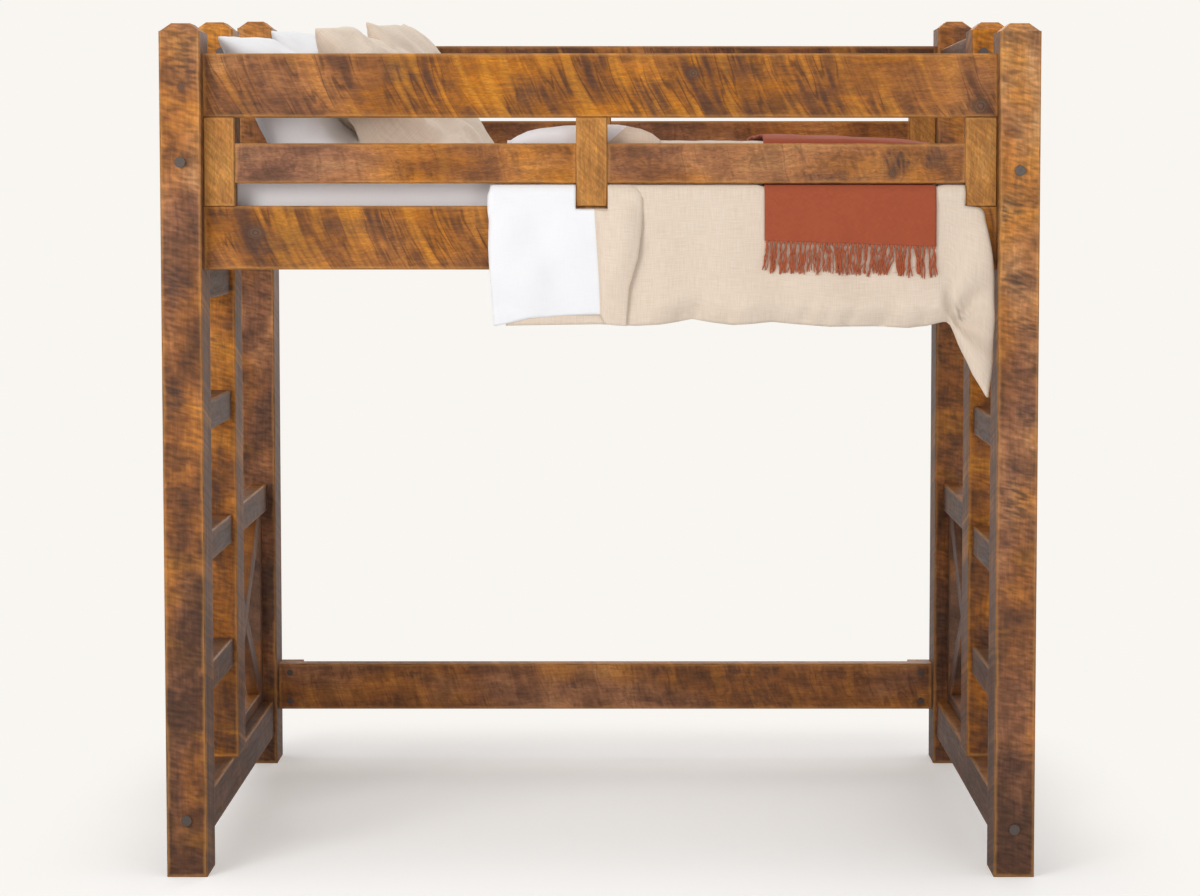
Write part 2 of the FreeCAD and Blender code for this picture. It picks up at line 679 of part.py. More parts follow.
def rounded_rectangle(half_x, half_y, corner, height):
    # Points round a rectangle at a height, its corners turned in short straight runs.
    points = []
    for quarter in range(4):
        spin = FreeCAD.Rotation(FreeCAD.Vector(0, 0, 1), 90 * quarter)
        a, b = (half_x, half_y) if quarter % 2 == 0 else (half_y, half_x)
        for step in range(CORNER_STEPS + 1):
            turn = math.pi / 2 * step / CORNER_STEPS
            points.append(spin.multVec(FreeCAD.Vector(a - corner + corner * math.cos(turn),
                                                      b - corner + corner * math.sin(turn), height)))
    return points


# Each level of the mattress: a share of its height, of its edge rounding and of its waist
MATTRESS_LEVEL_SHARES = ((0, 1, 0), (0.03, 0.35, 0), (0.1, 0, 0), (0.5, 0, 1), (0.9, 0, 0), (0.97, 0.35, 0),
                         (1, 1, 0))


def mattress():
    rings = []
    for level, edge_share, waist_share in MATTRESS_LEVEL_SHARES:
        inset = edge_share * size("mattress_edge") + waist_share * size("mattress_waist")
        rings.append(rounded_rectangle(size(MATTRESS_LENGTH + " / 2") - inset, size(MATTRESS_DEPTH + " / 2") - inset,
                                       size("mattress_corner") - inset,
                                       size(MATTRESS_BOTTOM) + level * size("mattress_height")))
    return skin(rings)


solid("mattress", mattress())

# Sections of a pillow: a share of its thickness from the middle, and of its outline
PILLOW_SECTION_SHARES = ((-0.5, 0.42), (-0.44, 0.66), (-0.3, 0.86), (-0.1, 0.98), (0.1, 0.98),
                         (0.3, 0.86), (0.44, 0.66), (0.5, 0.42))
# How far a side pulls in, at even steps from one corner to the next
PILLOW_BOW_SHARES = (0, 0.055, 0.08, 0.08, 0.055)


def pillow_outline(width, height, level):
    # Four sides that pull in between the corners.
    corners = [(-width / 2, -height / 2), (width / 2, -height / 2), (width / 2, height / 2), (-width / 2, height / 2)]
    points = []
    for index in range(4):
        (x0, y0), (x1, y1) = corners[index], corners[(index + 1) % 4]
        for step, bow in enumerate(PILLOW_BOW_SHARES):
            along = step / len(PILLOW_BOW_SHARES)
            x, y = x0 + (x1 - x0) * along, y0 + (y1 - y0) * along
            if index % 2 == 0:
                y *= 1 - bow
            else:
                x *= 1 - bow
            points.append(FreeCAD.Vector(x, y, level))
    return points


def pillow(label, y_centre, base_x, base_z, tilt):
    # Leans towards the head end, cut flat where it sits on the mattress.
    form = skin([pillow_outline(size(PILLOW_LENGTH) * share, size("pillow_height") * share,
                                level * size("pillow_thickness")) for level, share in PILLOW_SECTION_SHARES])
    lift = FreeCAD.Vector(0, size("pillow_height / 2"), 0)
    form.translate(lift)
    upright = FreeCAD.Rotation(FreeCAD.Vector(0, 1, 0), FreeCAD.Vector(0, 0, 1), FreeCAD.Vector(1, 0, 0), "ZXY")
    lean = FreeCAD.Rotation(FreeCAD.Vector(0, 1, 0), -tilt)
    form.Placement = FreeCAD.Placement(FreeCAD.Vector(base_x, y_centre, base_z), lean.multiply(upright)).multiply(
        form.Placement)
    box = form.BoundBox
    seat = size(MATTRESS_TOP + " + contact")
    room = Part.makeBox(box.XLength, box.YLength, box.ZMax - seat, FreeCAD.Vector(box.XMin, box.YMin, seat))
    solid(label, form.common(room))


NEAR_TILT = 51
FAR_TILT = 47
head = -size(MATTRESS_LENGTH + " / 2")
near_y = -size("(%s + pillow_gap) / 2" % PILLOW_LENGTH)
far_y = -near_y
near_base = head + size("near_pillow_base")
far_base = head + size("far_pillow_base")
base_z = size(MATTRESS_TOP + " + pillow_rise")
near_next = size("pillow_thickness + contact") / math.cos(math.radians(NEAR_TILT))
far_next = size("pillow_thickness + contact") / math.cos(math.radians(FAR_TILT))
sink = size("near_white_sink")
sunk_base = near_base + sink * math.tan(math.radians(NEAR_TILT))
pillow("near_white_pillow", near_y, sunk_base, base_z - sink, NEAR_TILT)
pillow("near_beige_pillow", near_y, near_base + near_next, base_z, NEAR_TILT)
pillow("far_white_pillow", far_y, far_base, base_z, FAR_TILT)
pillow("far_beige_pillow", far_y, far_base + far_next, base_z, FAR_TILT)


# Hanging cloth: a panel with soft upright folds, trimmed to its outline
def prism(points, y_low, y_high):
    # An outline in X and Z, carried through from y_low to y_high.
    wire = Part.makePolygon([FreeCAD.Vector(x, y_low, z) for x, z in points + points[:1]])
    return Part.Face(wire).extrude(FreeCAD.Vector(0, y_high - y_low, 0))


def draped_panel(points, y_back, thickness, depth):
    left, right = min(x for x, z in points), max(x for x, z in points)
    low, high = min(z for x, z in points), max(z for x, z in points)
    folds = max(1, round((right - left) / size("drape_pitch")))
    step = (right - left) / folds
    front = y_back - thickness
    edges = [Part.makeLine(FreeCAD.Vector(right, front, low), FreeCAD.Vector(right, y_back, low)),
             Part.makeLine(FreeCAD.Vector(right, y_back, low), FreeCAD.Vector(left, y_back, low)),
             Part.makeLine(FreeCAD.Vector(left, y_back, low), FreeCAD.Vector(left, front, low))]
    for fold in range(folds):
        start = left + fold * step
        edges.append(Part.Arc(FreeCAD.Vector(start, front, low), FreeCAD.Vector(start + step / 2, front - depth, low),
                              FreeCAD.Vector(start + step, front, low)).toShape())
    sheet_form = Part.Face(Part.Wire(Part.sortEdges(edges)[0])).extrude(FreeCAD.Vector(0, 0, high - low))
    return sheet_form.common(prism(points, front - depth, y_back))


def block(x_span, y_span, z_span):
    corner = FreeCAD.Vector(x_span[0], y_span[0], z_span[0])
    return Part.makeBox(x_span[1] - x_span[0], y_span[1] - y_span[0], z_span[1] - z_span[0], corner)


def joined(pieces):
    return pieces[0].fuse(pieces[1:]).removeSplitter()


contact = size("contact")
mattress_back = size(MATTRESS_DEPTH + " / 2")
mattress_front = -mattress_back
mattress_top = size(MATTRESS_TOP)
rail_front = size(RAIL_SPAN["front"][0])
rail_top = size(SIDE_RAIL_TOP)
pinch = size("duvet_pinch")
tongue_low = rail_top + contact
tongue_high = tongue_low + size("duvet_tongue")
panel_back = rail_front - contact
panel_front = panel_back - size("duvet_panel")
riser_back = mattress_front - contact
riser_front = riser_back - pinch
duvet_low = mattress_top + contact
duvet_high = duvet_low + size("duvet_thickness")
block_left = size(CENTRE_BLOCK[0]) - contact
block_right = size(CENTRE_BLOCK[1]) + contact
foot_block = size(RIGHT_BLOCK[0]) - contact
inner_end = size(INNER)
duvet_foot = size(MATTRESS_LENGTH + " / 2 - duvet_foot_room")


def duvet():
    # Lies on the mattress, goes out between guard and side rail and hangs in front.
    fold_edge = size("fold_foot + fold_seam")
    hem_edge = size("fold_foot_hem + fold_seam")
    hem = rail_top - size("duvet_fall")
    flap_tip, flap_edge = inner_end - size("flap_tip_inset"), inner_end - size("flap_edge_inset")
    tip_height = rail_top - size("flap_fall")
    top = block((-size("duvet_head"), duvet_foot), (riser_back, mattress_back), (duvet_low, duvet_high))
    edge = size("duvet_thickness") / 2
    top = top.makeFillet(edge, [line for line in top.Edges
                                if abs(line.CenterOfMass.z - duvet_high) < contact and
                                (line.CenterOfMass.x > duvet_foot - edge or
                                 line.CenterOfMass.y > mattress_back - edge)])
    riser = block((fold_edge, foot_block), (riser_front, riser_back), (tongue_low, duvet_high))
    tongue = block((fold_edge, foot_block), (panel_front, riser_back), (tongue_low, tongue_high))
    outline = [(hem_edge, hem), (inner_end - size("flap_width"), hem), (flap_tip, tip_height),
               (flap_edge, (hem + tip_height) / 2), (flap_edge, rail_top - contact),
               (foot_block, rail_top - contact), (foot_block, tongue_high), (fold_edge, tongue_high),
               (fold_edge, rail_top - contact)]
    panel = draped_panel(outline, panel_back, size("duvet_panel"), size("drape_depth"))
    return joined([top, riser, tongue, panel])


def turned_back_fold():
    # The head end of the duvet folded back over itself, white side out.
    head_edge, foot_edge = -size("fold_head"), size("fold_foot")
    duvet_head = -size("duvet_head") - contact
    crown = duvet_high + contact + size("fold_mound")
    roll = size("fold_roll")

    def point(x, z):
        return FreeCAD.Vector(x, riser_back, z)

    start = point(head_edge, duvet_low)
    shoulder = point(duvet_head - roll, duvet_high + roll)
    peak = point((head_edge + foot_edge) / 2, crown)
    end = point(foot_edge, duvet_high + contact)
    nose = Part.Arc(start, point(head_edge, duvet_high - roll / 2), shoulder).toShape()
    rise = Part.Arc(shoulder, point((shoulder.x + peak.x) / 2, (shoulder.z + crown) / 2 + size("fold_bulge")), peak).toShape()
    fall = Part.Arc(peak, point((peak.x + foot_edge) / 2, crown - size("fold_slump")), end).toShape()
    base = Part.makePolygon([end, point(duvet_head, duvet_high + contact), point(duvet_head, duvet_low), start])
    cap = Part.Face(Part.Wire([nose, rise, fall] + base.Edges)).extrude(FreeCAD.Vector(0, mattress_back - riser_back, 0))
    parts = [cap]
    for x_span in ((head_edge, block_left), (block_right, foot_edge)):
        parts.append(block(x_span, (riser_front, riser_back), (tongue_low, duvet_high + pinch)))
        parts.append(block(x_span, (panel_front, riser_back), (tongue_low, tongue_high)))
    hem = rail_top - size("fold_fall")
    hem_high = hem + size("fold_hem_rise")
    outline = [(head_edge + size("fold_corner"), hem), (head_edge + size("fold_corner_run"), hem_high),
               (size("fold_foot_hem"), hem), (foot_edge, rail_top - contact), (foot_edge, tongue_high),
               (block_right, tongue_high), (block_right, rail_top - contact),
               (block_left, rail_top - contact), (block_left, tongue_high), (head_edge, tongue_high)]
    parts.append(draped_panel(outline, panel_back, size("duvet_panel"), size("drape_depth")))
    return joined(parts)


def throw():
    # A band across the duvet that hangs in front of it and ends in a fringe.
    left, right = size("throw_head"), size("throw_foot")
    thick = size("throw_thickness")
    back = panel_front - size("drape_depth") - contact
    riser_y = (riser_front - contact - thick, riser_front - contact)
    low = tongue_high + contact
    top = block((left, right), (riser_y[0], mattress_back - size("duvet_thickness") / 2),
                (duvet_high + contact, duvet_high + contact + thick))
    riser = block((left, right), riser_y, (low, duvet_high + contact + thick))
    tongue = block((left, right), (back - thick, riser_y[1]), (low, low + thick))
    hem = rail_top - size("throw_fall")
    panel = draped_panel([(left, hem), (right, hem), (right, low + thick), (left, low + thick)], back, thick,
                         size("throw_drape_depth"))
    tassel, gap = size("tassel_width"), size("tassel_gap")
    count = int((right - left + gap) / (tassel + gap))
    start = (left + right - count * (tassel + gap) + gap) / 2
    parts = [top, riser, tongue, panel]
    for index in range(count):
        x_low = start + index * (tassel + gap)
        parts.append(block((x_low, x_low + tassel), (back - thick, back), (hem - size("fringe_length"), hem)))
    return joined(parts)


solid("duvet", duvet())
solid("turned_back_fold", turned_back_fold())
solid("throw", throw())


# Every object has to be sound before a file is written.
doc.recompute()
faults = [item.Name for item in doc.Objects if "Invalid" in item.State or "Error" in item.State]
faults += [item.Label for item in nodes if item.Shape.isNull() or not item.Shape.isValid()]
if faults:
    raise SystemExit("unsound: " + ", ".join(faults))
os.makedirs("parts", exist_ok=True)
for item in nodes:
    item.Shape.exportStep("parts/%s.step" % item.Label)
print(len(nodes), "nodes,", sum(len(item.Shape.Solids) for item in nodes), "solids")
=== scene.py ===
# Rustic pine loft bed with bedding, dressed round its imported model. Metres, +X to the foot end, +Z up.
import bpy
import functools
import itertools
import math
import random
import re
import numpy as np
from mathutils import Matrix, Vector, noise


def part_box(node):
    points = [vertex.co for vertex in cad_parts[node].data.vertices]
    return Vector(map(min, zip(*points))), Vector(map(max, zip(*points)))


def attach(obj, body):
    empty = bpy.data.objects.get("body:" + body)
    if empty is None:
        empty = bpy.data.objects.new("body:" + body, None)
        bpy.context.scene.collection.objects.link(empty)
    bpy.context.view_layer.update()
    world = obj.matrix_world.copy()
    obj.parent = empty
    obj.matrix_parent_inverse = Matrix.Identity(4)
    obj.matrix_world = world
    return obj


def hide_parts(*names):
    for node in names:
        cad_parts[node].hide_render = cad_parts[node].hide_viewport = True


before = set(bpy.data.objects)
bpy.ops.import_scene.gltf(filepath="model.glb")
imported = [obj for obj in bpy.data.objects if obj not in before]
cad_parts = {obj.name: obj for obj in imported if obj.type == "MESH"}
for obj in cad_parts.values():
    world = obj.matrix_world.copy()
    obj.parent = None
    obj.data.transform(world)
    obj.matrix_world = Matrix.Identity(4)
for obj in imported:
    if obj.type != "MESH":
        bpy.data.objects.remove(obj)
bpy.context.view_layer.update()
scene = bpy.context.scene
print("frame loaded,", len(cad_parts), "nodes")


def linear(code):
    # sRGB hex to the linear colour that a socket takes
    channels = [int(code[start:start + 2], 16) / 255 for start in (1, 3, 5)]
    return tuple(c / 12.92 if c <= 0.04045 else ((c + 0.055) / 1.055) ** 2.4 for c in channels) + (1.0,)


nodeModes = {"Math": "operation", "VectorMath": "operation", "Mix": "data_type", "Mapping": "vector_type",
    "MapRange": "interpolation_type"}


def addNode(tree, kind, *values, named=None, stops=None, clamp=False):
    # kind is the node's kind and its mode; values fill the enabled sockets in order and named fills them
    # by name; a node stands for its first output
    kind, *mode = kind.split()
    node = tree.nodes.new("ShaderNode" + kind)
    if mode:
        setattr(node, nodeModes[kind], mode[0])
    if clamp:
        node.use_clamp = True
    if stops:
        ramp = node.color_ramp
        ramp.elements[0].position, ramp.elements[1].position = stops[0][0], stops[-1][0]
        for place, code in stops[1:-1]:
            ramp.elements.new(place)
        for element, (place, code) in zip(ramp.elements, stops):
            element.color = linear(code)
    enabled = [socket for socket in node.inputs if socket.enabled]
    pairs = list(zip(enabled, values))
    for name, value in (named or {}).items():
        pairs.append((next(socket for socket in enabled if socket.name == name), value))
    for socket, value in pairs:
        if isinstance(value, bpy.types.Node):
            value = next(output for output in value.outputs if output.enabled)
        if isinstance(value, bpy.types.NodeSocket):
            tree.links.new(value, socket)
        else:
            socket.default_value = value
    return node


def clearNodes(block):
    # gives back the function that adds nodes to the block's emptied tree
    block.use_nodes = True
    block.node_tree.nodes.clear()
    return functools.partial(addNode, block.node_tree)


def choose(*pieces):
    bpy.ops.object.select_all(action="DESELECT")
    for piece in pieces:
        piece.select_set(True)
    bpy.context.view_layer.objects.active = pieces[0]


# Camera, floor and light

view = {
    "place": (0.071, -8.035, 1.695),
    "pitch": 3.82,  # degrees below level
    "lens": 88.98,
    "sensor": 36,
    "shift": (-0.0244, -0.05),
    "farthest": 60,
}
camera = bpy.data.objects.new("studioCamera", bpy.data.cameras.new("studioCamera"))
scene.collection.objects.link(camera)
camera.location = view["place"]
camera.rotation_euler = (math.radians(90 - view["pitch"]), 0, 0)
camera.data.sensor_width, camera.data.lens = view["sensor"], view["lens"]
camera.data.shift_x, camera.data.shift_y = view["shift"]
camera.data.clip_end = view["farthest"]
scene.camera = camera

studio = {
    "paper": "#F9F6F1",
    "shaded": "#F3F3F4",
    "daylight": "#FFFFFF",
    "floorHalf": 9.0,
    "footprint": (0.95, 0.84, 0),  # the bed's shadow lies inside it; past it the floor turns to plain paper
    "fade": 0.60,
    "floorGlow": 0.275,
    "worldStrength": 0.5,
    "lamps": [  # name, place, aim, size, watts, colour
        ("keyLamp", (-3.1, -4.7, 3.0), (0, -0.7, 1.5), 2.6, 104, "#FFFEFC"),
        ("fillLamp", (2.2, -5.8, 1.2), (0, -0.7, 1.5), 2.8, 48, "#FFFFFF"),
        ("topLamp", (0.0, -0.3, 5.2), (0, 0, 0), 3.4, 46, "#FFFFFF"),
        ("backLamp", (1.5, 5.5, 3.2), (0, 0.7, 1.4), 3.0, 60, "#FFFFFF"),
    ],
}
world = bpy.data.worlds.new("studioWorld")
scene.world = world
add = clearNodes(world)
ray = add("LightPath").outputs
seen = add("Math MAXIMUM", ray["Is Camera Ray"], ray["Is Glossy Ray"])
seen = add("Math MAXIMUM", seen, ray["Is Transmission Ray"])
lit = add("Background", linear(studio["daylight"]), studio["worldStrength"])
paper = add("Background", linear(studio["paper"]), 1.0)
add("OutputWorld", add("MixShader", seen, lit, paper))

bpy.ops.mesh.primitive_plane_add(size=2 * studio["floorHalf"], location=(0, 0, 0))
floor = bpy.context.object
floor.name = "studioFloor"
material = bpy.data.materials.new("studioPaper")
add = clearNodes(material)
place = add("TexCoord").outputs["Object"]
away = add("VectorMath ABSOLUTE", place)
away = add("VectorMath SUBTRACT", away, studio["footprint"])
away = add("VectorMath MAXIMUM", away, (0, 0, 0))
away = add("VectorMath LENGTH", away)
fade = add("MapRange SMOOTHSTEP", away, 0.0, studio["fade"])
ray = add("LightPath").outputs["Is Camera Ray"]
faded = add("Math MULTIPLY", fade, ray)
extra = add("Math MULTIPLY", ray, studio["floorGlow"])
matt = add("BsdfDiffuse", linear(studio["shaded"]))
glow = add("Emission", linear(studio["paper"]), extra)
shaded = add("AddShader", matt, glow)
plain = add("Emission", linear(studio["paper"]), 1.0)
add("OutputMaterial", add("MixShader", faded, shaded, plain))
floor.data.materials.append(material)

for name, spot, aim, size, watts, colour in studio["lamps"]:
    lamp = bpy.data.objects.new(name, bpy.data.lights.new(name, "AREA"))
    scene.collection.objects.link(lamp)
    lamp.data.shape, lamp.data.size, lamp.data.energy = "DISK", size, watts
    lamp.data.color = linear(colour)[:3]
    lamp.location = spot
    lamp.rotation_euler = (Vector(aim) - Vector(spot)).to_track_quat("-Z", "Y").to_euler()
    lamp.visible_camera = False
scene.view_settings.view_transform = "Standard"
print("camera, floor and lamps set")

# Rough-sawn pine, stained amber to brown and waxed: satin, with saw marks across the grain,
# darker stain where the saw tore the fibres, lighter edges that are partly rubbed and partly painted
# highlight, a thin painted shade line along the edges, and painted light and shade on the posts and inner
# sides

# along the grain, across the face, into the board
grainAxes = {"x": (0, 2, 1), "y": (1, 2, 0), "z": (2, 0, 1)}
pineTones = {
    "amber": [(0.25, "#683F22"), (0.42, "#995B1C"), (0.55, "#B46C15"), (0.7, "#C67C1D"), (0.82, "#D29242")],
    "brown": [(0.25, "#4F3426"), (0.42, "#835740"), (0.55, "#A6724F"), (0.7, "#BC895D"), (0.82, "#CC9C71")],
    "umber": [(0.26, "#3E2C22"), (0.42, "#5C4030"), (0.56, "#73503A"), (0.72, "#8A6041"), (0.85, "#9A6E48")],
    "golden": [(0.26, "#85562C"), (0.42, "#A97035"), (0.55, "#C08440"), (0.72, "#CD9552"), (0.85, "#D5A262")],
    "bare": [(0.3, "#C9A877"), (0.5, "#D9BC8C"), (0.7, "#E2C99D")],
    # tones of the inward-facing sides, darkened as painted shade
    "shadedFlank": [(0.28, "#38241A"), (0.45, "#4A3023"), (0.6, "#5C3E2D"), (0.8, "#6E4C38")],
    "knot": [(0.5, "#6E5345"), (0.66, "#46332A"), (0.9, "#745540"), (1.0, "#5C4331")],
}
pineFinish = {
    "torn": "#43342F",  # blue-grey brown where the stain sank in
    "streak": "#4E3124",
    "flame": "#D9922C",
    # the dark lines of the saw's passes, and painted shade along the boards' edges
    "outline": "#3F281A",
    # edges, partly rubbed bare and partly painted highlight where they catch the light
    "rubbed": "#CF9450",
    "tooth": 0.0045,  # one pass of the saw's teeth, drawn coarser than the real 2 mm so that it shows
    "seedPlace": (3.71, 1.93, 2.57),
    "wander": (0.05, 0.03, 0.03),  # how far the grain strays
    "hairAt": 0.485,
    "fray": 0.016,
    "knotBlur": (70.0, 3.0, 0.7),
    # stretch of the fibre streaks in the painted shade of the inward-facing sides
    "paintedFlankShade": (2.0, 40.0, 40.0),
}
# patterns that follow the grain: stretch along, across and into the board, detail, roughness, distortion
pineFields = {
    "patches": ((4.5, 9.0, 9.0), 4.0, 0.6, 0.0),
    "warmth": ((2.6, 6.0, 6.0), 2.0, 0.5, 0.0),
    "ragged": ((9.0, 14.0, 14.0), 4.0, 0.65, 0.0),
    "blotches": ((7.0, 13.0, 13.0), 5.0, 0.68, 0.0),
    "fibres": ((7.0, 1 / 0.007, 1 / 0.007), 3.0, 0.6, 0.0),
    "waves": ((45.0, 140.0, 140.0), 2.0, 0.5, 1.6),
}
# how a pattern turns into a mark: where it begins, where it is full, and its least and most strength
pineSteps = {
    "dark": (0.47, 0.64),
    "light": (0.47, 0.36),
    "thin": (0.52, 0.64, 0.0, 0.5),
    "where": (0.36, 0.58, 0.12),
    "torn": (0.53, 0.68),
    "hair": (0.032, 0.006),
    "stain": (2.3, 1.3, 0.0, 1.6),
    "halo": (2.4, 1.3, 0.0, 0.5),
    "inside": (1.45, 1.25, 0.0, 0.72),
    # the lighter edge band, part wear and part painted highlight; then the painted shade line at the very
    # edge
    "rub": (0.011, 0.002, 0.0, 0.38),
    "line": (0.0028, 0.0004, 0.0, 0.4),
    "tooth": (0.4, 0.62),
    # where a face turns inward and takes the painted shade
    "shadedFlank": (0.6, 0.9, 0.0),
    "warmth": (0.36, 0.62),
    "gloss": (0.3, 0.7, 0.46, 0.64),
}
pineLooks = {
    # a post's fall paints light and shade into its colour: paler at the top, darker by the floor
    "post": dict(grain="z", slope=0.22, curve=0.0, pitch=0.075, streak=0.7, torn=0.6, teeth=1.15, warm=0.45,
        ripple=0.25, lift=-0.06, fall=0.14, hair=0.12),
    "rail": dict(grain="x", slope=0.46, curve=-1.3, pitch=0.042, streak=1.0, torn=0.35, teeth=0.35,
        warm=0.75, ripple=0.8, lift=-0.02, held=0.13, ragged=(6.0, 7.0, 7.0)),
    "guard": dict(grain="x", slope=0.2, curve=0.6, pitch=0.07, streak=0.5, torn=0.3, teeth=0.25, warm=0.5,
        ripple=1.0),
    "block": dict(grain="z", slope=1.0, curve=0.0, pitch=0.03, streak=0.25, torn=0.15, teeth=0.6, warm=1.0,
        light="golden", ripple=0.7),
    "rung": dict(grain="y", slope=0.4, curve=0.0, pitch=0.04, streak=0.45, torn=0.4, teeth=0.4, warm=0.25,
        ripple=0.3, shadedFlank=0.9),
    "brace": dict(grain="y", slope=0.5, curve=0.0, pitch=0.04, streak=0.35, torn=0.3, teeth=0.4, warm=0.2,
        ripple=0.3),
    "stretcher": dict(grain="x", slope=0.3, curve=-0.6, pitch=0.06, streak=0.6, torn=0.6, teeth=0.5,
        warm=0.4, ripple=0.6, lift=-0.05),
    "deck": dict(grain="y", slope=0.3, curve=0.0, pitch=0.03, streak=0.1, torn=0.05, teeth=0.2, warm=1.0,
        light="bare", ripple=0.0),
}


def spotReach(add, along, across, spot):
    # how far a point of the face lies from a spot, in the spot's half sizes
    flat = add("CombineXYZ", along, across)
    spotAlong, spotAcross, halfLong, halfWide = spot
    near = add("Mapping TEXTURE", flat, (spotAlong, spotAcross, 0), (0, 0, 0), (halfLong, halfWide, 1))
    return add("VectorMath LENGTH", near)


def sawnPine(name, look):
    # look: its pineLooks entry, with centre, half (half sizes), turn about X, seed and knots of this board
    material = bpy.data.materials.new(name)
    add = clearNodes(material)
    place = add("TexCoord").outputs["Object"]
    board = add("Mapping TEXTURE", place, look["centre"], (look["turn"], 0, 0))
    edgePlace = board
    if look["repeat"]:
        # several like pieces in a row: each one measured from its own middle
        parts = add("SeparateXYZ", board).outputs
        shift = look["repeat"][0]
        for low, high in zip(look["repeat"], look["repeat"][1:]):
            past = add("Math GREATER_THAN", parts[0], (low + high) / 2)
            shift = add("Math MULTIPLY_ADD", past, high - low, shift)
        own = add("Math SUBTRACT", parts[0], shift)
        spread = add("Math ADD", parts[2], shift)
        edgePlace = add("CombineXYZ", own, parts[1], parts[2])
        board = add("CombineXYZ", own, parts[1], spread)
    axes = add("SeparateXYZ", board).outputs
    along, across, deep = [axes[axis] for axis in grainAxes[look["grain"]]]
    grain = add("CombineXYZ", along, across, deep)
    seedPlace = [look["seed"] * step for step in pineFinish["seedPlace"]]
    start = add("VectorMath ADD", grain, seedPlace)
    wander = add("TexNoise", start, 6.0, 2.0)
    drift = add("VectorMath SUBTRACT", wander.outputs["Color"], (0.5, 0.5, 0.5))
    flow = add("VectorMath MULTIPLY_ADD", drift, pineFinish["wander"], start)
    fields = {}
    for field, (stretch, detail, roughness, distortion) in pineFields.items():
        stretched = add("VectorMath MULTIPLY", flow, look.get(field, stretch))
        fields[field] = add("TexNoise", stretched, 1.0, detail, roughness, named={"Distortion": distortion})

    # stain: brown and amber in broad patches, and inside them broad light and dark
    level = add("Math ADD", fields["patches"], look.get("lift", 0.0))
    if "fall" in look:
        # painted light and shade: posts are paler at the top and darker by the floor, as the light falls off
        # downward
        level = add("Math MULTIPLY_ADD", along, look["fall"], level)
    brown = add("ValToRGB", level, stops=pineTones["brown" if look["warm"] > 0.3 else "umber"])
    amber = add("ValToRGB", level, stops=pineTones[look.get("light", "amber")])
    warmth = add("MapRange SMOOTHSTEP", fields["warmth"], *pineSteps["warmth"], 1.6 * look["warm"] - 0.6,
        0.25 + look["warm"])
    if "warmAt" in look:
        # boards that are most orange round one place
        middle, reach = look["warmAt"]
        offset = add("Math SUBTRACT", along, middle)
        offset = add("Math ABSOLUTE", offset)
        offset = add("MapRange SMOOTHSTEP", offset, reach, 2 * reach, 0.25, -0.4)
        warmth = add("Math ADD", warmth, offset, clamp=True)
    colour = add("Mix RGBA", warmth, brown, amber)

    # faces that look in along X, as the posts' inner flanks and the rungs' inner sides do: painted shade, a
    # darker, greyer brown for sides that the light reaches less, streaked with fibres
    shadedFlank = None
    if look["grain"] != "x":
        facing = add("SeparateXYZ", add("NewGeometry").outputs["True Normal"])
        inward = -1.0 if look["centre"][0] > 0 else 1.0
        facing = add("Math MULTIPLY", facing, inward)
        shadedFlank = add("MapRange", facing, *pineSteps["shadedFlank"], look.get("shadedFlank", 0.72))
        paintedFlankShade = add("VectorMath MULTIPLY", flow, pineFinish["paintedFlankShade"])
        paintedFlankShade = add("TexNoise", paintedFlankShade, 1.0, 4.0, 0.6)
        paintedFlankShade = add("ValToRGB", paintedFlankShade, stops=pineTones["shadedFlank"])
        colour = add("Mix RGBA", shadedFlank, colour, paintedFlankShade)

    # saw marks: arcs across the board, in uneven bands along it
    square = add("Math MULTIPLY", across, across)
    phase = along
    for source, share in ((across, look["slope"]), (square, look["curve"]), (deep, 0.3), (wander, 0.018)):
        phase = add("Math MULTIPLY_ADD", source, share, phase)
    slow = add("Math MULTIPLY", across, look.get("held", 0.3))
    marks = add("CombineXYZ", phase, slow, look["seed"] * 1.37)
    scales = ((1 / look["pitch"], 2.0, 0.55), (2.6 / look["pitch"], 2.0, 0.6),
        (0.5 / pineFinish["tooth"], 1.0, 0.5))
    bands, narrow, teeth = [add("TexNoise", marks, *scale) for scale in scales]
    # each pass of the saw left a thin dark line where it began
    hair = add("Math SUBTRACT", bands, pineFinish["hairAt"])
    hair = add("Math ABSOLUTE", hair)
    sources = {"dark": bands, "thin": narrow, "light": bands, "where": fields["ragged"], "hair": hair,
        "torn": fields["blotches"]}
    mark = {key: add("MapRange SMOOTHSTEP", source, *pineSteps[key]) for key, source in sources.items()}
    strong = add("Math MAXIMUM", mark["dark"], mark["thin"])

    # torn fibres: blue-grey brown blotches with the teeth's lines in them
    torn = mark["torn"]
    for spot in look.get("stains", []):
        reach = add("Math MULTIPLY_ADD", fields["ragged"], 2.2, spotReach(add, along, across, spot))
        reach = add("MapRange SMOOTHSTEP", reach, *pineSteps["stain"])
        torn = add("Math ADD", torn, reach)
    tooth = add("MapRange", teeth, *pineSteps["tooth"])
    tornLines = add("Math MULTIPLY_ADD", tooth, 0.45, 0.5)

    streak = look["streak"]
    coats = [
        ("streak", (strong, mark["where"], 0.85 * streak)),
        ("outline", (mark["hair"], mark["where"], look.get("hair", 0.6 * streak))),
        ("flame", (mark["light"], 0.38 * streak, warmth)),
        ("torn", (torn, tornLines, look["torn"])),
    ]
    for tone, (share, *factors) in coats:
        for factor in factors:
            share = add("Math MULTIPLY", share, factor)
        colour = add("Mix RGBA", share, colour, linear(pineFinish[tone]))

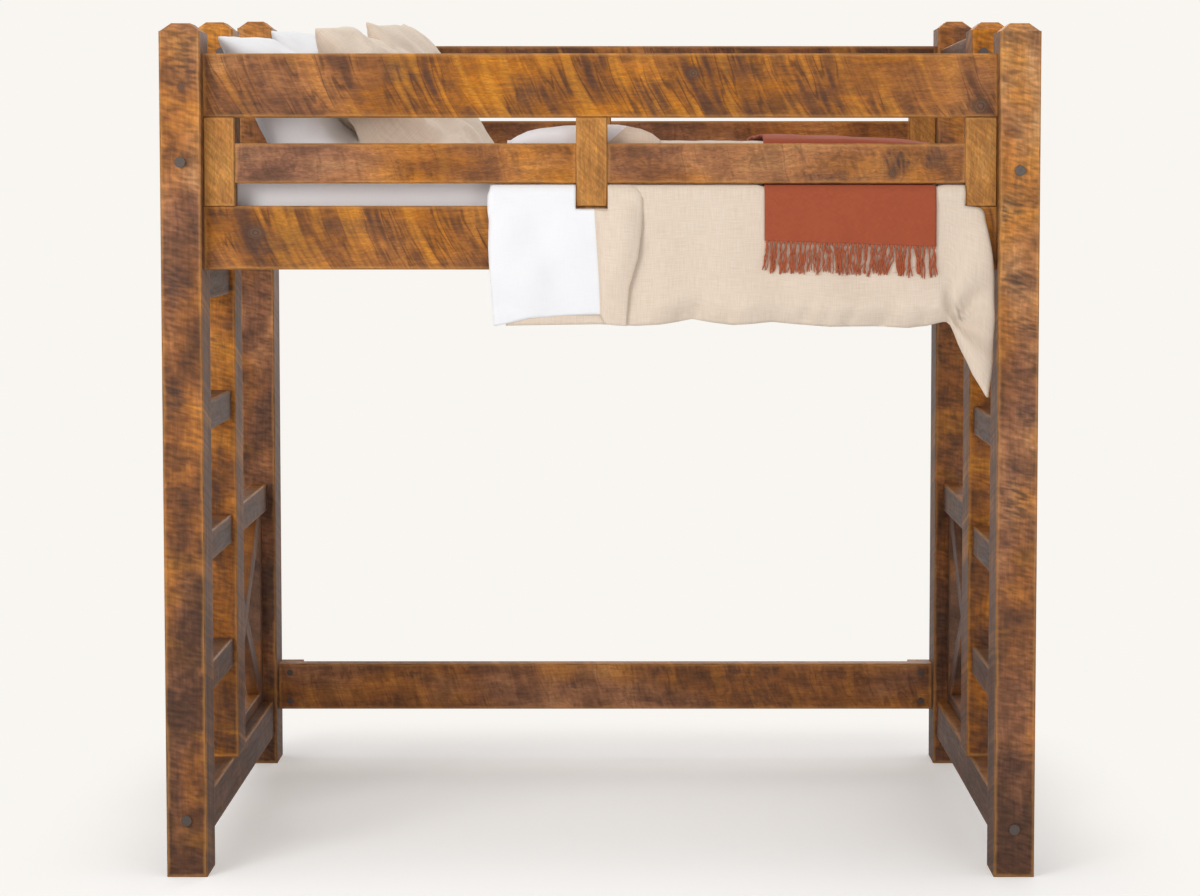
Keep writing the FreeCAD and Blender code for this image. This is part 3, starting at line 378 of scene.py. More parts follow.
    # light and dark of the fibres, of the ripples that the blade left and of the teeth's fine lines
    shade = 1.0
    ripples = (fields["waves"], 0.24 * look["ripple"])
    for source, depth in ((fields["fibres"], 0.16), ripples, (teeth, -0.26 * look["teeth"])):
        part = add("MapRange", source, 0.32, 0.68, 1 - depth, 1 + depth)
        shade = add("Math MULTIPLY", part, shade)
    colour = add("VectorMath SCALE", colour, shade)

    # knots: (along, across, half length, half width) from the board's middle
    blurScale, blurDetail, blurDepth = pineFinish["knotBlur"]
    for spot in look["knots"]:
        blur = add("TexNoise", start, blurScale, blurDetail)
        ring = add("Math MULTIPLY_ADD", blur, blurDepth, spotReach(add, along, across, spot))
        halo = add("MapRange SMOOTHSTEP", ring, *pineSteps["halo"])
        inside = add("MapRange SMOOTHSTEP", ring, *pineSteps["inside"])
        rim = add("ValToRGB", ring, stops=pineTones["knot"])
        for share, tone in ((halo, linear(pineFinish["streak"])), (inside, rim)):
            colour = add("Mix RGBA", share, colour, tone)

    # edges: how far the nearest one is, as the middle one of the three distances to the board's faces
    if look["half"]:
        sides = add("VectorMath ABSOLUTE", edgePlace)
        sides = add("VectorMath SUBTRACT", look["half"], sides)
        gaps = add("SeparateXYZ", sides).outputs
        least = add("Math MINIMUM", gaps[0], gaps[1])
        most = add("Math MAXIMUM", gaps[0], gaps[1])
        middle = add("Math MINIMUM", most, gaps[2])
        middle = add("Math MAXIMUM", least, middle)
        frayed = add("Math SUBTRACT", fields["ragged"], 0.5)
        middle = add("Math MULTIPLY_ADD", frayed, pineFinish["fray"], middle)
        # lighter edges, part wear and part painted highlight, kept off the shaded flanks; then a thin painted
        # shade line at the very edge
        rub = add("MapRange SMOOTHSTEP", middle, *pineSteps["rub"])
        if shadedFlank:
            bare = add("Math MULTIPLY_ADD", shadedFlank, -0.7, 1.0)
            rub = add("Math MULTIPLY", rub, bare)
        line = add("MapRange SMOOTHSTEP", middle, *pineSteps["line"])
        for share, tone in ((rub, "rubbed"), (line, "outline")):
            colour = add("Mix RGBA", share, colour, linear(pineFinish[tone]))

    relief = fields["fibres"]
    for source, depth in ((teeth, look["teeth"]), (fields["waves"], look["ripple"]), (bands, -1.2)):
        relief = add("Math MULTIPLY_ADD", source, depth, relief)
    bump = add("Bump", named={"Strength": 0.4, "Distance": 0.0018, "Height": relief})
    gloss = add("MapRange", fields["fibres"], *pineSteps["gloss"])
    shader = add("BsdfPrincipled", colour, named={"Roughness": gloss, "Normal": bump, "IOR": 1.45,
        "Specular IOR Level": 0.3})
    add("OutputMaterial", shader)
    return material


# Each board: its look, and what is its own; places are along and across it from its middle
boardKinds = {
    "post": "post", "stretcher": "stretcher", "guard_blocks": "block", "^(front|back)_.*guard_rail": "guard",
    "^(front|back)_.*_rail": "rail", "brace": "brace", "deck_slats|cleat|centre_beam": "deck",
    "^(left|right)_": "rung",
}
boardExtras = {
    "left_front_post": dict(seed=1.0, lift=-0.11, torn=0.36, knots=[(0.894, 0.004, 0.010, 0.007)],
        stains=[(0.955, 0.0, 0.10, 0.06), (0.872, 0.044, 0.03, 0.01), (0.42, -0.02, 0.07, 0.05),
        (0.13, -0.03, 0.05, 0.04)]),
    # a stronger fall: more painted shade towards the floor
    "right_front_post": dict(seed=2.3, lift=-0.03, fall=0.26, torn=0.4,
        stains=[(0.42, 0.0, 0.04, 0.03), (0.30, 0.02, 0.05, 0.05), (0.10, 0.02, 0.045, 0.05),
        (0.60, -0.01, 0.05, 0.04), (-0.1, 0.0, 0.08, 0.06)]),
    "front_top_rail": dict(seed=3.1, knots=[(0.227, 0.030, 0.014, 0.013), (0.929, -0.050, 0.021, 0.020)],
        warmAt=(0.10, 0.5), stains=[(-0.184, -0.02, 0.05, 0.045), (-0.502, 0.027, 0.035, 0.03)]),
    "front_side_rail": dict(seed=4.4, knots=[(-0.845, 0.012, 0.020, 0.016)],
        stains=[(-0.83, -0.012, 0.05, 0.04), (-0.76, -0.07, 0.06, 0.02)]),
    "front_left_guard_rail": dict(seed=5.2, stains=[(-0.39, 0.02, 0.035, 0.025)], warmAt=(0.30, 0.28)),
    "front_right_guard_rail": dict(seed=6.7, torn=0.6, knots=[(0.26, -0.024, 0.010, 0.009)],
        stains=[(0.28, 0.0, 0.055, 0.04), (0.36, 0.01, 0.04, 0.03)]),
    "back_stretcher": dict(seed=7.9),
    "left_middle_post": dict(seed=9.4, warm=0.85, lift=-0.02),
    "right_middle_post": dict(seed=10.7, warm=0.85, lift=-0.03),
    "left_back_post": dict(lift=-0.08),
    "right_back_post": dict(lift=-0.09),
    "back_top_rail": dict(lift=-0.17, warm=0.4),
    "back_left_guard_rail": dict(lift=-0.04),
    "back_right_guard_rail": dict(lift=-0.04),
    "front_deck_cleat": dict(grain="x"),
    "back_deck_cleat": dict(grain="x"),
    "deck_centre_beam": dict(grain="x"),
    "stretcher_blocks": dict(grain="z", half=None),
    "deck_slats": dict(half=None),
}
blockRow = {"middles": [-0.933, -0.021, 0.933], "halfWidth": 0.0385}
softNodes = ("mattress", "near_white_pillow", "near_beige_pillow", "far_white_pillow", "far_beige_pillow",
    "duvet", "turned_back_fold", "throw", "post_bolts", "rail_bolts", "stretcher_lag_screws")
boards = [name for name in sorted(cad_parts) if name not in softNodes]
for number, name in enumerate(boards):
    low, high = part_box(name)
    look = {
        **pineLooks[next(kind for pattern, kind in boardKinds.items() if re.search(pattern, name))],
        "centre": [(a + b) / 2 for a, b in zip(low, high)], "half": [(b - a) / 2 for a, b in zip(low, high)],
        "turn": 0.0, "repeat": None, "seed": 11.0 + 1.7 * number, "knots": [], **boardExtras.get(name, {}),
    }
    if name.endswith("guard_blocks"):
        look["repeat"] = blockRow["middles"]
        look["half"] = [blockRow["halfWidth"]] + look["half"][1:]
    if "brace" in name:
        look["half"] = None
    if name.endswith("_brace"):
        # a strip that lies corner to corner of its bay
        rise = math.atan2(high[2] - low[2], high[1] - low[1])
        look["turn"] = rise if "rising" in name else -rise
    material = sawnPine("sawnPine_" + name, look)
    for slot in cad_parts[name].material_slots:
        slot.material = material
print("timber dressed,", len(boards), "boards")

# Carriage bolts and lag screws: blackened bronze, domed heads, satin with a little wear on the crown

boltLook = {
    "bronze": "#50453F",
    "worn": "#776A60",
    "sides": 28,
    "disc": 0.004,
    "rim": 0.0012,
    "rings": (0.96, 0.87, 0.74, 0.56, 0.34, 0.12),  # the dome's rings, in shares of its radius
    "creased": 50,  # degrees
}
bronze = bpy.data.materials.new("blackenedBronze")
add = clearNodes(bronze)
place = add("TexCoord").outputs["Object"]
hammered = add("TexNoise", place, 220.0, 2.0)
scuffed = add("TexNoise", place, 520.0, 3.0, 0.7)
worn = add("MapRange", scuffed, 0.5, 0.75, 0.0, 0.4)
patina = add("Mix RGBA", worn, linear(boltLook["bronze"]), linear(boltLook["worn"]))
dull = add("MapRange", hammered, 0.3, 0.7, 0.34, 0.52)
bump = add("Bump", named={"Strength": 0.25, "Distance": 0.0004, "Height": hammered})
shader = add("BsdfPrincipled", patina, named={"Metallic": 0.35, "Roughness": dull, "Normal": bump})
add("OutputMaterial", shader)

postFront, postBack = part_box("left_front_post")[0][1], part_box("left_back_post")[1][1]
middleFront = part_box("left_middle_post")[0][1]
boltLine, insetLine, postFace = 1.0215, 1.002, 1.0715
quarter = math.pi / 2
boltPieces = {  # places: middle of the head, and its turn
    "postBolts": dict(node="post_bolts", radius=0.013, height=0.0062, places=[
        ((side * line, face, height), (math.copysign(quarter, -face), 0, 0))
        for side, low, high in ((-1, 0.142, 1.762), (1, 0.120, 1.742))
        for line, face, height in (
            (boltLine, postFront, low), (boltLine, postFront, high), (boltLine, postBack, low),
            (boltLine, postBack, high), (insetLine, middleFront, 2.055), (boltLine, middleFront, 1.578),
            (insetLine, postBack, 2.055), (boltLine, postBack, 1.578))]),
    "railBolts": dict(node="rail_bolts", radius=0.013, height=0.0062, places=[
        ((side * postFace, line, height), (0, side * quarter, 0))
        for side in (-1, 1) for line, top in ((-0.7295, 1.924), (0.7295, 2.012))
        for height in (1.539, 1.617, top)]),
    "stretcherLagScrews": dict(node="stretcher_lag_screws", radius=0.0085, height=0.0055, places=[
        ((side * 0.9385, 0.720, height), (quarter, 0, 0)) for side in (-1, 1) for height in (0.178, 0.262)]),
}


def domeHead(radius, height):
    # a disc, half of it in the timber, whose top face is inset and lifted ring by ring up to a closed crown
    bpy.ops.object.select_all(action="DESELECT")
    bpy.ops.mesh.primitive_cylinder_add(vertices=boltLook["sides"], radius=radius, depth=boltLook["disc"])
    head = bpy.context.object
    for face in head.data.polygons:
        face.select = face.normal.z > 0.9
    bpy.ops.object.mode_set(mode="EDIT")
    edge, risen = 1.0, boltLook["rim"]
    for across in boltLook["rings"]:
        lift = height * math.sqrt(1 - across * across)
        bpy.ops.mesh.inset(thickness=radius * (edge - across), depth=0)
        bpy.ops.transform.translate(value=(0, 0, max(0.0, lift - risen)))
        edge, risen = across, max(risen, lift)
    bpy.ops.object.mode_set(mode="OBJECT")
    bpy.ops.object.shade_smooth_by_angle(angle=math.radians(boltLook["creased"]))
    return head


for name, look in boltPieces.items():
    pattern = domeHead(look["radius"], look["height"])
    copies = []
    for spot, turn in look["places"]:
        copy = pattern.copy()
        copy.data = pattern.data.copy()
        copy.location, copy.rotation_euler = spot, turn
        scene.collection.objects.link(copy)
        copies.append(copy)
    bpy.data.objects.remove(pattern)
    choose(*copies)
    bpy.ops.object.transform_apply(location=True, rotation=True, scale=True)
    bpy.ops.object.join()
    heads = bpy.context.object
    heads.name = name
    heads.data.materials.append(bronze)
    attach(heads, "root")
    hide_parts(look["node"])
print("bolts set")

# Bedding cloths: linen, percale and brushed wool, all patterned on each cloth's own UV map in metres


def clothMaterial(name, colour, shade, thread, sheen, relief, patch=0.05, twill=False):
    # colour and shade are hex; thread is the spacing and relief the depth of the threads, in metres
    material = bpy.data.materials.new(name)
    add = clearNodes(material)
    flat = add("TexCoord").outputs["UV"]
    parts = add("SeparateXYZ", flat).outputs
    runs = []
    for lengthwise in (0, 1):
        if twill:
            lean = add("Math MULTIPLY_ADD", parts[0], 2.0 * lengthwise - 1.0, parts[1])
            stretched = add("CombineXYZ", lean, parts[lengthwise])
            scale = (1 / thread, 0.12 / thread, 1)
        else:
            stretched = flat
            scale = (1 / thread, 0.05 / thread, 1) if lengthwise else (0.05 / thread, 1 / thread, 1)
        spun = add("VectorMath MULTIPLY", stretched, scale)
        runs.append(add("TexNoise", spun, 1.0, 2.0, 0.6))
    threads = add("Math ADD", *runs)
    slub = add("MapRange", threads, 0.6, 1.4, 0.0, 1.0)
    cloud = add("TexNoise", flat, 9.0, 3.0)
    cloudy = add("MapRange", cloud, 0.3, 0.7, -patch, patch)
    mixing = add("Math ADD", slub, cloudy)
    tint = add("Mix RGBA", mixing, linear(shade), linear(colour))
    bump = add("Bump", named={"Strength": 0.4, "Distance": relief, "Height": threads})
    shader = add("BsdfPrincipled", tint, named={"Roughness": 0.85, "Sheen Weight": sheen,
        "Sheen Roughness": 0.5, "Normal": bump})
    add("OutputMaterial", shader)
    return material


cloths = {
    # slub linen: flax threads of uneven width, 0.7 mm in the real cloth, drawn at 2.2 mm so that they show
    "linen": clothMaterial("slubLinen", "#EDDDCC", "#DAC6B0", thread=0.0022, sheen=0.1, relief=0.0007),
    # cotton percale: fine and even, nearly smooth
    "percale": clothMaterial("cottonPercale", "#F6F6F8", "#F1F1F4", thread=0.002, sheen=0.05, relief=0.0001,
        patch=0.02),
    # brushed wool twill: fine diagonal lines and a soft nap
    "wool": clothMaterial("brushedWoolTwill", "#AE5430", "#964226", thread=0.0022, sheen=0.03, relief=0.0006,
        twill=True),
    "yarn": clothMaterial("twistedWoolYarn", "#C1633C", "#9C4D29", thread=0.0022, sheen=0.03, relief=0.0006,
        twill=True),
}


def smoothStep(low, high, value):
    share = np.clip((value - low) / (high - low), 0, 1)
    return share * share * (3 - 2 * share)


def rolling(scale, seed, x, y=0.0, z=0.0):
    # smooth noise over arrays, about -1 to 1
    spots = np.broadcast_arrays(x, y, z)
    flat = [noise.noise(Vector((a * scale + seed, b * scale - seed * 0.7, c * scale + seed * 1.9)))
        for a, b, c in zip(*(spot.ravel() for spot in spots))]
    return np.array(flat).reshape(spots[0].shape)


def curve(places, values):
    return lambda at: np.interp(at, places, values)


def bandFaces(low, high, sides):
    # the faces between two rings of points, which start at low and at high
    following = [*range(1, sides), 0]
    return [(low + side, low + after, high + after, high + side) for side, after in enumerate(following)]


def finishMesh(name, points, faces, flat, materials, node=None, faceCloth=None):
    mesh = bpy.data.meshes.new(name)
    mesh.from_pydata([tuple(p) for p in points], [], faces)
    piece = bpy.data.objects.new(name, mesh)
    scene.collection.objects.link(piece)
    layer = mesh.uv_layers.new(name="cloth")
    loops = np.zeros(len(mesh.loops), dtype=np.int32)
    mesh.loops.foreach_get("vertex_index", loops)
    layer.data.foreach_set("uv", np.asarray(flat, dtype=np.float32)[loops].ravel())
    for material in materials:
        mesh.materials.append(cloths[material])
    if faceCloth:
        mesh.polygons.foreach_set("material_index", faceCloth)
    choose(piece)
    bpy.ops.object.mode_set(mode="EDIT")
    bpy.ops.mesh.select_all(action="SELECT")
    bpy.ops.mesh.delete_loose()
    bpy.ops.mesh.select_all(action="SELECT")
    bpy.ops.mesh.normals_make_consistent(inside=False)
    bpy.ops.object.mode_set(mode="OBJECT")
    bpy.ops.object.shade_smooth()
    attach(piece, "root")
    if node:
        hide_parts(node)
    return piece


# The way that bedding takes from the mattress to its hem: level, over the mattress edge, down behind
# the guard, out over the side rail and down in front. Each stage is a share of the rows.

hangRows = {"top": 60, "edge": 9, "riser": 8, "inner": 5, "ledge": 5, "outer": 7, "drop": 46}
rowStart = dict(zip(hangRows, np.cumsum([0, *hangRows.values()])))
dropRow = rowStart["drop"]


def arcPoints(centre, radius, fromAngle, toAngle, count):
    turns = np.radians(np.linspace(fromAngle, toAngle, count, endpoint=False))
    return [(centre[0] + radius * math.cos(turn), centre[1] + radius * math.sin(turn)) for turn in turns]


def linePoints(start, end, count):
    return [(start[0] + (end[0] - start[0]) * step / count, start[1] + (end[1] - start[1]) * step / count)
        for step in range(count)]


def hangPath(side, top, ledge, hem):
    # (y, z) points; side has the y of the back end, the riser and the panel in front, and the bends' radii
    back, riser, panel = side["back"], side["riser"], side["panel"]
    edge, inner, outer = side["radii"]
    points = linePoints((back, top), (riser + edge, top), hangRows["top"])
    points += arcPoints((riser + edge, top - edge), edge, 90, 180, hangRows["edge"])
    points += linePoints((riser, top - edge), (riser, ledge + inner), hangRows["riser"])
    points += arcPoints((riser - inner, ledge + inner), inner, 0, -90, hangRows["inner"])
    points += linePoints((riser - inner, ledge), (panel + outer, ledge), hangRows["ledge"])
    points += arcPoints((panel + outer, ledge - outer), outer, 90, 180, hangRows["outer"])
    points += linePoints((panel, ledge - outer), (panel, hem), hangRows["drop"])
    return np.array(points + [(panel, hem)])


def hangLayer(x, side, tops, ledges, hems):
    # one layer of points: x by column, or by row and column, and a path for each column
    paths = [hangPath(side, *heights) for heights in zip(*np.broadcast_arrays(tops, ledges, hems))]
    layer = np.zeros((len(paths[0]), len(paths), 3))
    layer[..., 0] = x
    layer[..., 1:] = np.stack(paths, axis=1)
    return layer


def topShare(y, z, low, high):
    # 1 on the top of the bed, and 0 where the cloth turns down
    return smoothStep(low, high, z) * smoothStep(-0.70, -0.60, y)


def hangFront(layer, front, easing):
    # moves the hanging rows to front, eased in over the first of them
    blend = smoothStep(0, easing, np.arange(len(layer) - dropRow))[:, None]
    layer[dropRow:, :, 1] = layer[dropRow:, :, 1] * (1 - blend) + front * blend


def pathLength(layer):
    middle = layer[:, layer.shape[1] // 2]
    steps = np.linalg.norm(np.diff(middle, axis=0), axis=1)
    return np.concatenate([[0], np.cumsum(steps)])


def taperCloth(outer, inner, columns, reach, headReach):
    # draws both layers together towards the head, foot, back and hem edges
    middle = (outer + inner) / 2
    along = pathLength(outer)
    lengthwise = np.minimum(along, along[-1] - along)[:, None]
    toEdge = np.minimum(columns[-1] - columns, lengthwise) / reach
    toEdge = np.clip(np.minimum(toEdge, (columns - columns[0]) / headReach), 0, 1)
    keep = np.sqrt(toEdge * (2 - toEdge))[..., None]
    width = np.linalg.norm(outer - inner, axis=-1, keepdims=True)
    keep = np.clip(np.maximum(keep, 0.0016 / np.maximum(width, 1e-6)), 0, 1)
    for layer in (outer, inner):
        layer[:] = middle + (layer - middle) * keep


def layeredCloth(name, outer, inner, materials, node, missing=False, paint=False):
    # Two layers of one grid of points, joined round every edge of the cells that are cloth; missing says
    # which cells are left out, and paint which of them take the second material
    rows, cols = outer.shape[:2]
    cells = ~np.broadcast_to(missing, (rows - 1, cols - 1))
    paint = np.broadcast_to(paint, cells.shape)
    framed = np.pad(cells, 1)
    index = np.arange(rows * cols).reshape(rows, cols)
    under = rows * cols
    faces, faceCloth = [], []
    for r, c in zip(*np.nonzero(cells)):
        ring = [index[r, c], index[r, c + 1], index[r + 1, c + 1], index[r + 1, c]]
        made = [tuple(ring), tuple(corner + under for corner in reversed(ring))]
        for side, (dr, dc) in enumerate(((-1, 0), (0, 1), (1, 0), (0, -1))):
            if not framed[r + 1 + dr, c + 1 + dc]:
                p, q = ring[side], ring[(side + 1) % 4]
                made.append((q, p, p + under, q + under))
        faces += made
        faceCloth += [int(paint[r, c])] * len(made)
    points = np.concatenate([outer.reshape(-1, 3), inner.reshape(-1, 3)])
    lengths = np.broadcast_to(pathLength(outer)[:, None], (rows, cols))
    flat = np.stack([outer[..., 0], lengths], axis=-1)
    flats = np.concatenate([flat.reshape(-1, 2)] * 2)
    return finishMesh(name, points, faces, flats, materials, node, faceCloth)


# Duvet

duvetLook = {
    "head": -0.232,
    "foot": 0.944,
    "covered": (0.070, 0.8935),  # it fills the slot between the turned-back fold and the block at the foot
    "columns": (38, 98, 12),
    "outer": {"back": 0.684, "riser": -0.6961, "panel": -0.7655, "radii": (0.026, 0.006, 0.024)},
    "inner": {"back": 0.684, "riser": -0.6864, "panel": -0.7526, "radii": (0.002, 0.003, 0.002)},
    "top": 1.8165,
    "under": 1.7798,
    "ledgeUnder": 1.6566,
    "flap": (0.80, 0.953),  # where the long corner flap starts and how far its hem is drawn
    "flapMiddle": (0.858, 1.378),
    "hangsFrom": 1.664,
    "gathers": [  # at the hem: place, width and depth
        (0.225, 0.022, 0.011), (0.19, 0.014, 0.006), (0.31, 0.02, 0.006), (0.50, 0.018, 0.010),
        (0.545, 0.014, 0.008), (0.61, 0.016, 0.006), (0.70, 0.02, 0.010), (0.79, 0.022, 0.008)],
    "easing": 6,
    "taper": 0.024,
}
hemHeight = curve([-0.26, -0.15, 0.0, 0.063, 0.087, 0.144, 0.185, 0.225, 0.27, 0.323, 0.37, 0.421, 0.48,
    0.559, 0.673, 0.754, 0.80, 0.838, 0.851, 0.862, 0.875, 0.908, 0.949],
    [1.362, 1.364, 1.366, 1.363, 1.362, 1.365, 1.371, 1.379, 1.371, 1.364, 1.367, 1.372, 1.366, 1.360, 1.361,
    1.357, 1.362, 1.372, 1.371, 1.345, 1.308, 1.243, 1.186])
footEdge = curve([1.19, 1.28, 1.372, 1.484, 1.54, 1.612, 1.655, 1.70],
    [0.953, 0.966, 0.969, 0.966, 0.960, 0.946, 0.932, 0.944])
# over the side rail it fills the slot under the guard rail, pressed lower where the throw passes with it
ledgeTop = curve([0.385, 0.402, 0.822, 0.84], [1.7082, 1.7034, 1.7034, 1.7082])
topRise = curve([-0.3, 0.16, 0.38, 0.60, 0.77, 0.85, 0.944],
    [0.0, 0.0, -0.001, -0.001, -0.010, -0.018, -0.034])


def duvetLoft(x, y):
    # how far the top swells above its path
    crown = 0.006 * np.cos(np.clip(y / duvetLook["outer"]["back"], -1, 1) * np.pi / 2)
    return 0.005 * rolling(5.0, 1.0, x, y) + 0.003 * rolling(13.0, 3.0, x, y) + crown


def duvetFront(x, z):
    # y of the outer face of the hanging part
    fall = np.clip((duvetLook["hangsFrom"] - z) / 0.3, 0, 1)
    bulge = 0.007 * np.sin(np.pi * fall ** 0.75)
    folds = 0.005 * fall * np.sin(2 * np.pi * (x / 0.21 + 0.35 * rolling(3.0, 2.0, x, z=z)) + 0.6)
    soft = 0.006 * rolling(8.0, 5.0, x, z=z) * np.clip(fall * 2, 0, 1)
    aboveHem = z - hemHeight(x)
    gathers = np.zeros_like(x)
    for place, width, depth in duvetLook["gathers"]:
        slanted = x - place - 0.35 * (z - 1.37)
        gathers = gathers + depth * np.exp(-(slanted / width) ** 2)
    tuck = gathers * np.exp(-(aboveHem / 0.06) ** 2)
    # folds that run out from where the corner flap starts, and its swing
    middleX, middleZ = duvetLook["flapMiddle"]
    tail = smoothStep(0.80, 0.90, x) * smoothStep(1.66, 1.55, z)
    angle = np.arctan2(z - middleZ, x - middleX)
    reach = np.hypot(z - middleZ, x - middleX)
    radial = 0.014 * np.sin(6.0 * angle + 0.9) * np.exp(-reach / 0.16) * smoothStep(0.0, 0.025, reach)
    swing = 0.008 * np.sin((x - 0.86) / 0.1 * np.pi) * smoothStep(1.45, 1.25, z)
    # the flap starts from behind the main hem's end, so it steps back there
    under = 0.012 * np.exp(-(reach / 0.035) ** 2) * smoothStep(1.385, 1.37, z)
    # the filling lies plump above the hem, more in some places than in others
    full = 0.024 * (0.85 + 0.5 * rolling(7.0, 12.0, x))
    plump = full * np.exp(-((aboveHem - 0.046) / 0.034) ** 2) * smoothStep(0.865, 0.83, x)
    # what lies under the turned-back end is pressed flat
    free = smoothStep(0.085, 0.16, x)
    shape = folds + soft + tuck - bulge - plump + under - tail * (radial + swing)
    return duvetLook["outer"]["panel"] + free * shape


def makeDuvet():
    look = duvetLook
    left, right = look["covered"]
    ends = (look["head"], left, right, look["foot"])
    columns = np.unique(np.concatenate([np.linspace(*span) for span in zip(ends, ends[1:], look["columns"])]))
    start, end = look["flap"]
    share = np.clip((columns - start) / (look["foot"] - start), 0, 1)
    drawn = start + (columns - start) / (look["foot"] - start) * (end - start)
    hems = hemHeight(np.where(columns < start, columns, drawn))
    outer = hangLayer(columns, look["outer"], look["top"] + topRise(columns), ledgeTop(columns), hems)
    inner = hangLayer(columns, look["inner"], look["under"], look["ledgeUnder"], hems)
    # the foot edge curves in and out as it hangs
    for layer in (outer, inner):
        z = layer[dropRow:, :, 2]
        layer[dropRow:, :, 0] += share * (footEdge(z) - look["foot"]) * smoothStep(1.668, 1.62, z)
    x, y, z = np.moveaxis(outer, -1, 0)
    outer[..., 2] += topShare(y, z, 1.70, 1.80) * duvetLoft(x, y)
    front = duvetFront(x[dropRow:], z[dropRow:])
    thick = (outer - inner)[dropRow:, :, 1]
    hangFront(outer, front, look["easing"])
    hangFront(inner, np.minimum(front - thick * 0.9, look["inner"]["panel"]), look["easing"])
    taperCloth(outer, inner, columns, look["taper"], look["taper"])
    missing = np.zeros((len(outer) - 1, len(columns) - 1), bool)
    middle = (columns[:-1] + columns[1:]) / 2
    for below, there in ((5, middle < left), (3, middle > right)):
        missing[rowStart["edge"] + 4:dropRow + below, there] = True
    return layeredCloth("linenDuvet", outer, inner, ["linen"], "duvet", missing)


duvetPiece = makeDuvet()
print("duvet laid")

# Turned-back end of the duvet: white percale with a linen border, over the linen underneath

foldLook = {
    "head": -0.276,
    "foot": 0.104,
    "topFoot": 0.044,
    "lines": (0, 28, 34, 39, 51),  # columns of the head edge, the block's left side, border, right side, foot
    "block": (-0.0602, 0.0182),
    "outer": {"back": 0.684, "riser": -0.6963, "panel": -0.7735, "radii": (0.032, 0.006, 0.028)},
    "inner": {"back": 0.684, "riser": -0.6864, "panel": -0.7632, "radii": (0.003, 0.003, 0.003)},
    "restOnMattress": 1.7798,
    "restOnDuvet": 1.8172,
    "duvetHead": -0.236,
    "ledgeTop": 1.7084,
    "ledgeUnder": 1.6566,
    "hangsFrom": 1.664,
    "underRail": 1.6545,
    "easing": 7,
    "taper": (0.032, 0.012),
}
moundTop = curve([-0.276, -0.25, -0.230, -0.210, -0.18, -0.15, -0.09, -0.02, 0.05, 0.10, 0.13, 0.148],
    [1.790, 1.799, 1.813, 1.827, 1.840, 1.847, 1.854, 1.856, 1.854, 1.846, 1.834, 1.8205])
whiteHem = curve([-0.276, -0.254, -0.20, -0.173, -0.10, -0.04, 0.0, 0.012, 0.03, 0.063, 0.104],
    [1.362, 1.362, 1.375, 1.381, 1.387, 1.390, 1.391, 1.368, 1.364, 1.362, 1.362])
foldHead = curve([1.36, 1.371, 1.484, 1.564, 1.697, 1.75], [-0.250, -0.262, -0.270, -0.274, -0.271, -0.276])
foldFoot = curve([1.36, 1.467, 1.547, 1.619, 1.70, 1.75], [0.063, 0.071, 0.094, 0.102, 0.103, 0.104])
borderAt = curve([1.39, 1.47, 1.64, 1.72, 1.80, 1.815, 1.85],
    [-0.001, -0.004, -0.0145, -0.016, 0.0, 0.022, 0.063])


def foldFront(x, z):
    # y of the outer face of the hanging part
    fall = np.clip((foldLook["hangsFrom"] - z) / 0.28, 0, 1)
    bulge = 0.009 * np.sin(np.pi * fall ** 0.8)
    folds = 0.004 * fall * np.sin(2 * np.pi * (x + 0.12 * (z - 1.5)) / 0.13 + 1.0)
    drag = 0.010 * np.sin((x * 0.8 + z * 0.6) / 0.045 + 2.0 * rolling(6.0, 9.0, x, z=z))
    drag = drag * smoothStep(0.0, 0.3, fall) * smoothStep(-0.03, -0.18, x)
    soft = 0.005 * rolling(11.0, 6.0, x, z=z)
    # the white is laid over the linen, so there is a small step down at its border
    step = 0.0028 * smoothStep(0.0, 0.004, x - borderAt(z))
    # and its foot edge rolls under
    roll = 0.010 * np.exp(-((x - foldFoot(z) + 0.042) / 0.034) ** 2)
    front = foldLook["outer"]["panel"] - bulge + folds + drag * 0.7 + soft + step - roll
    return np.minimum(front, duvetLook["outer"]["panel"] - 0.0045)


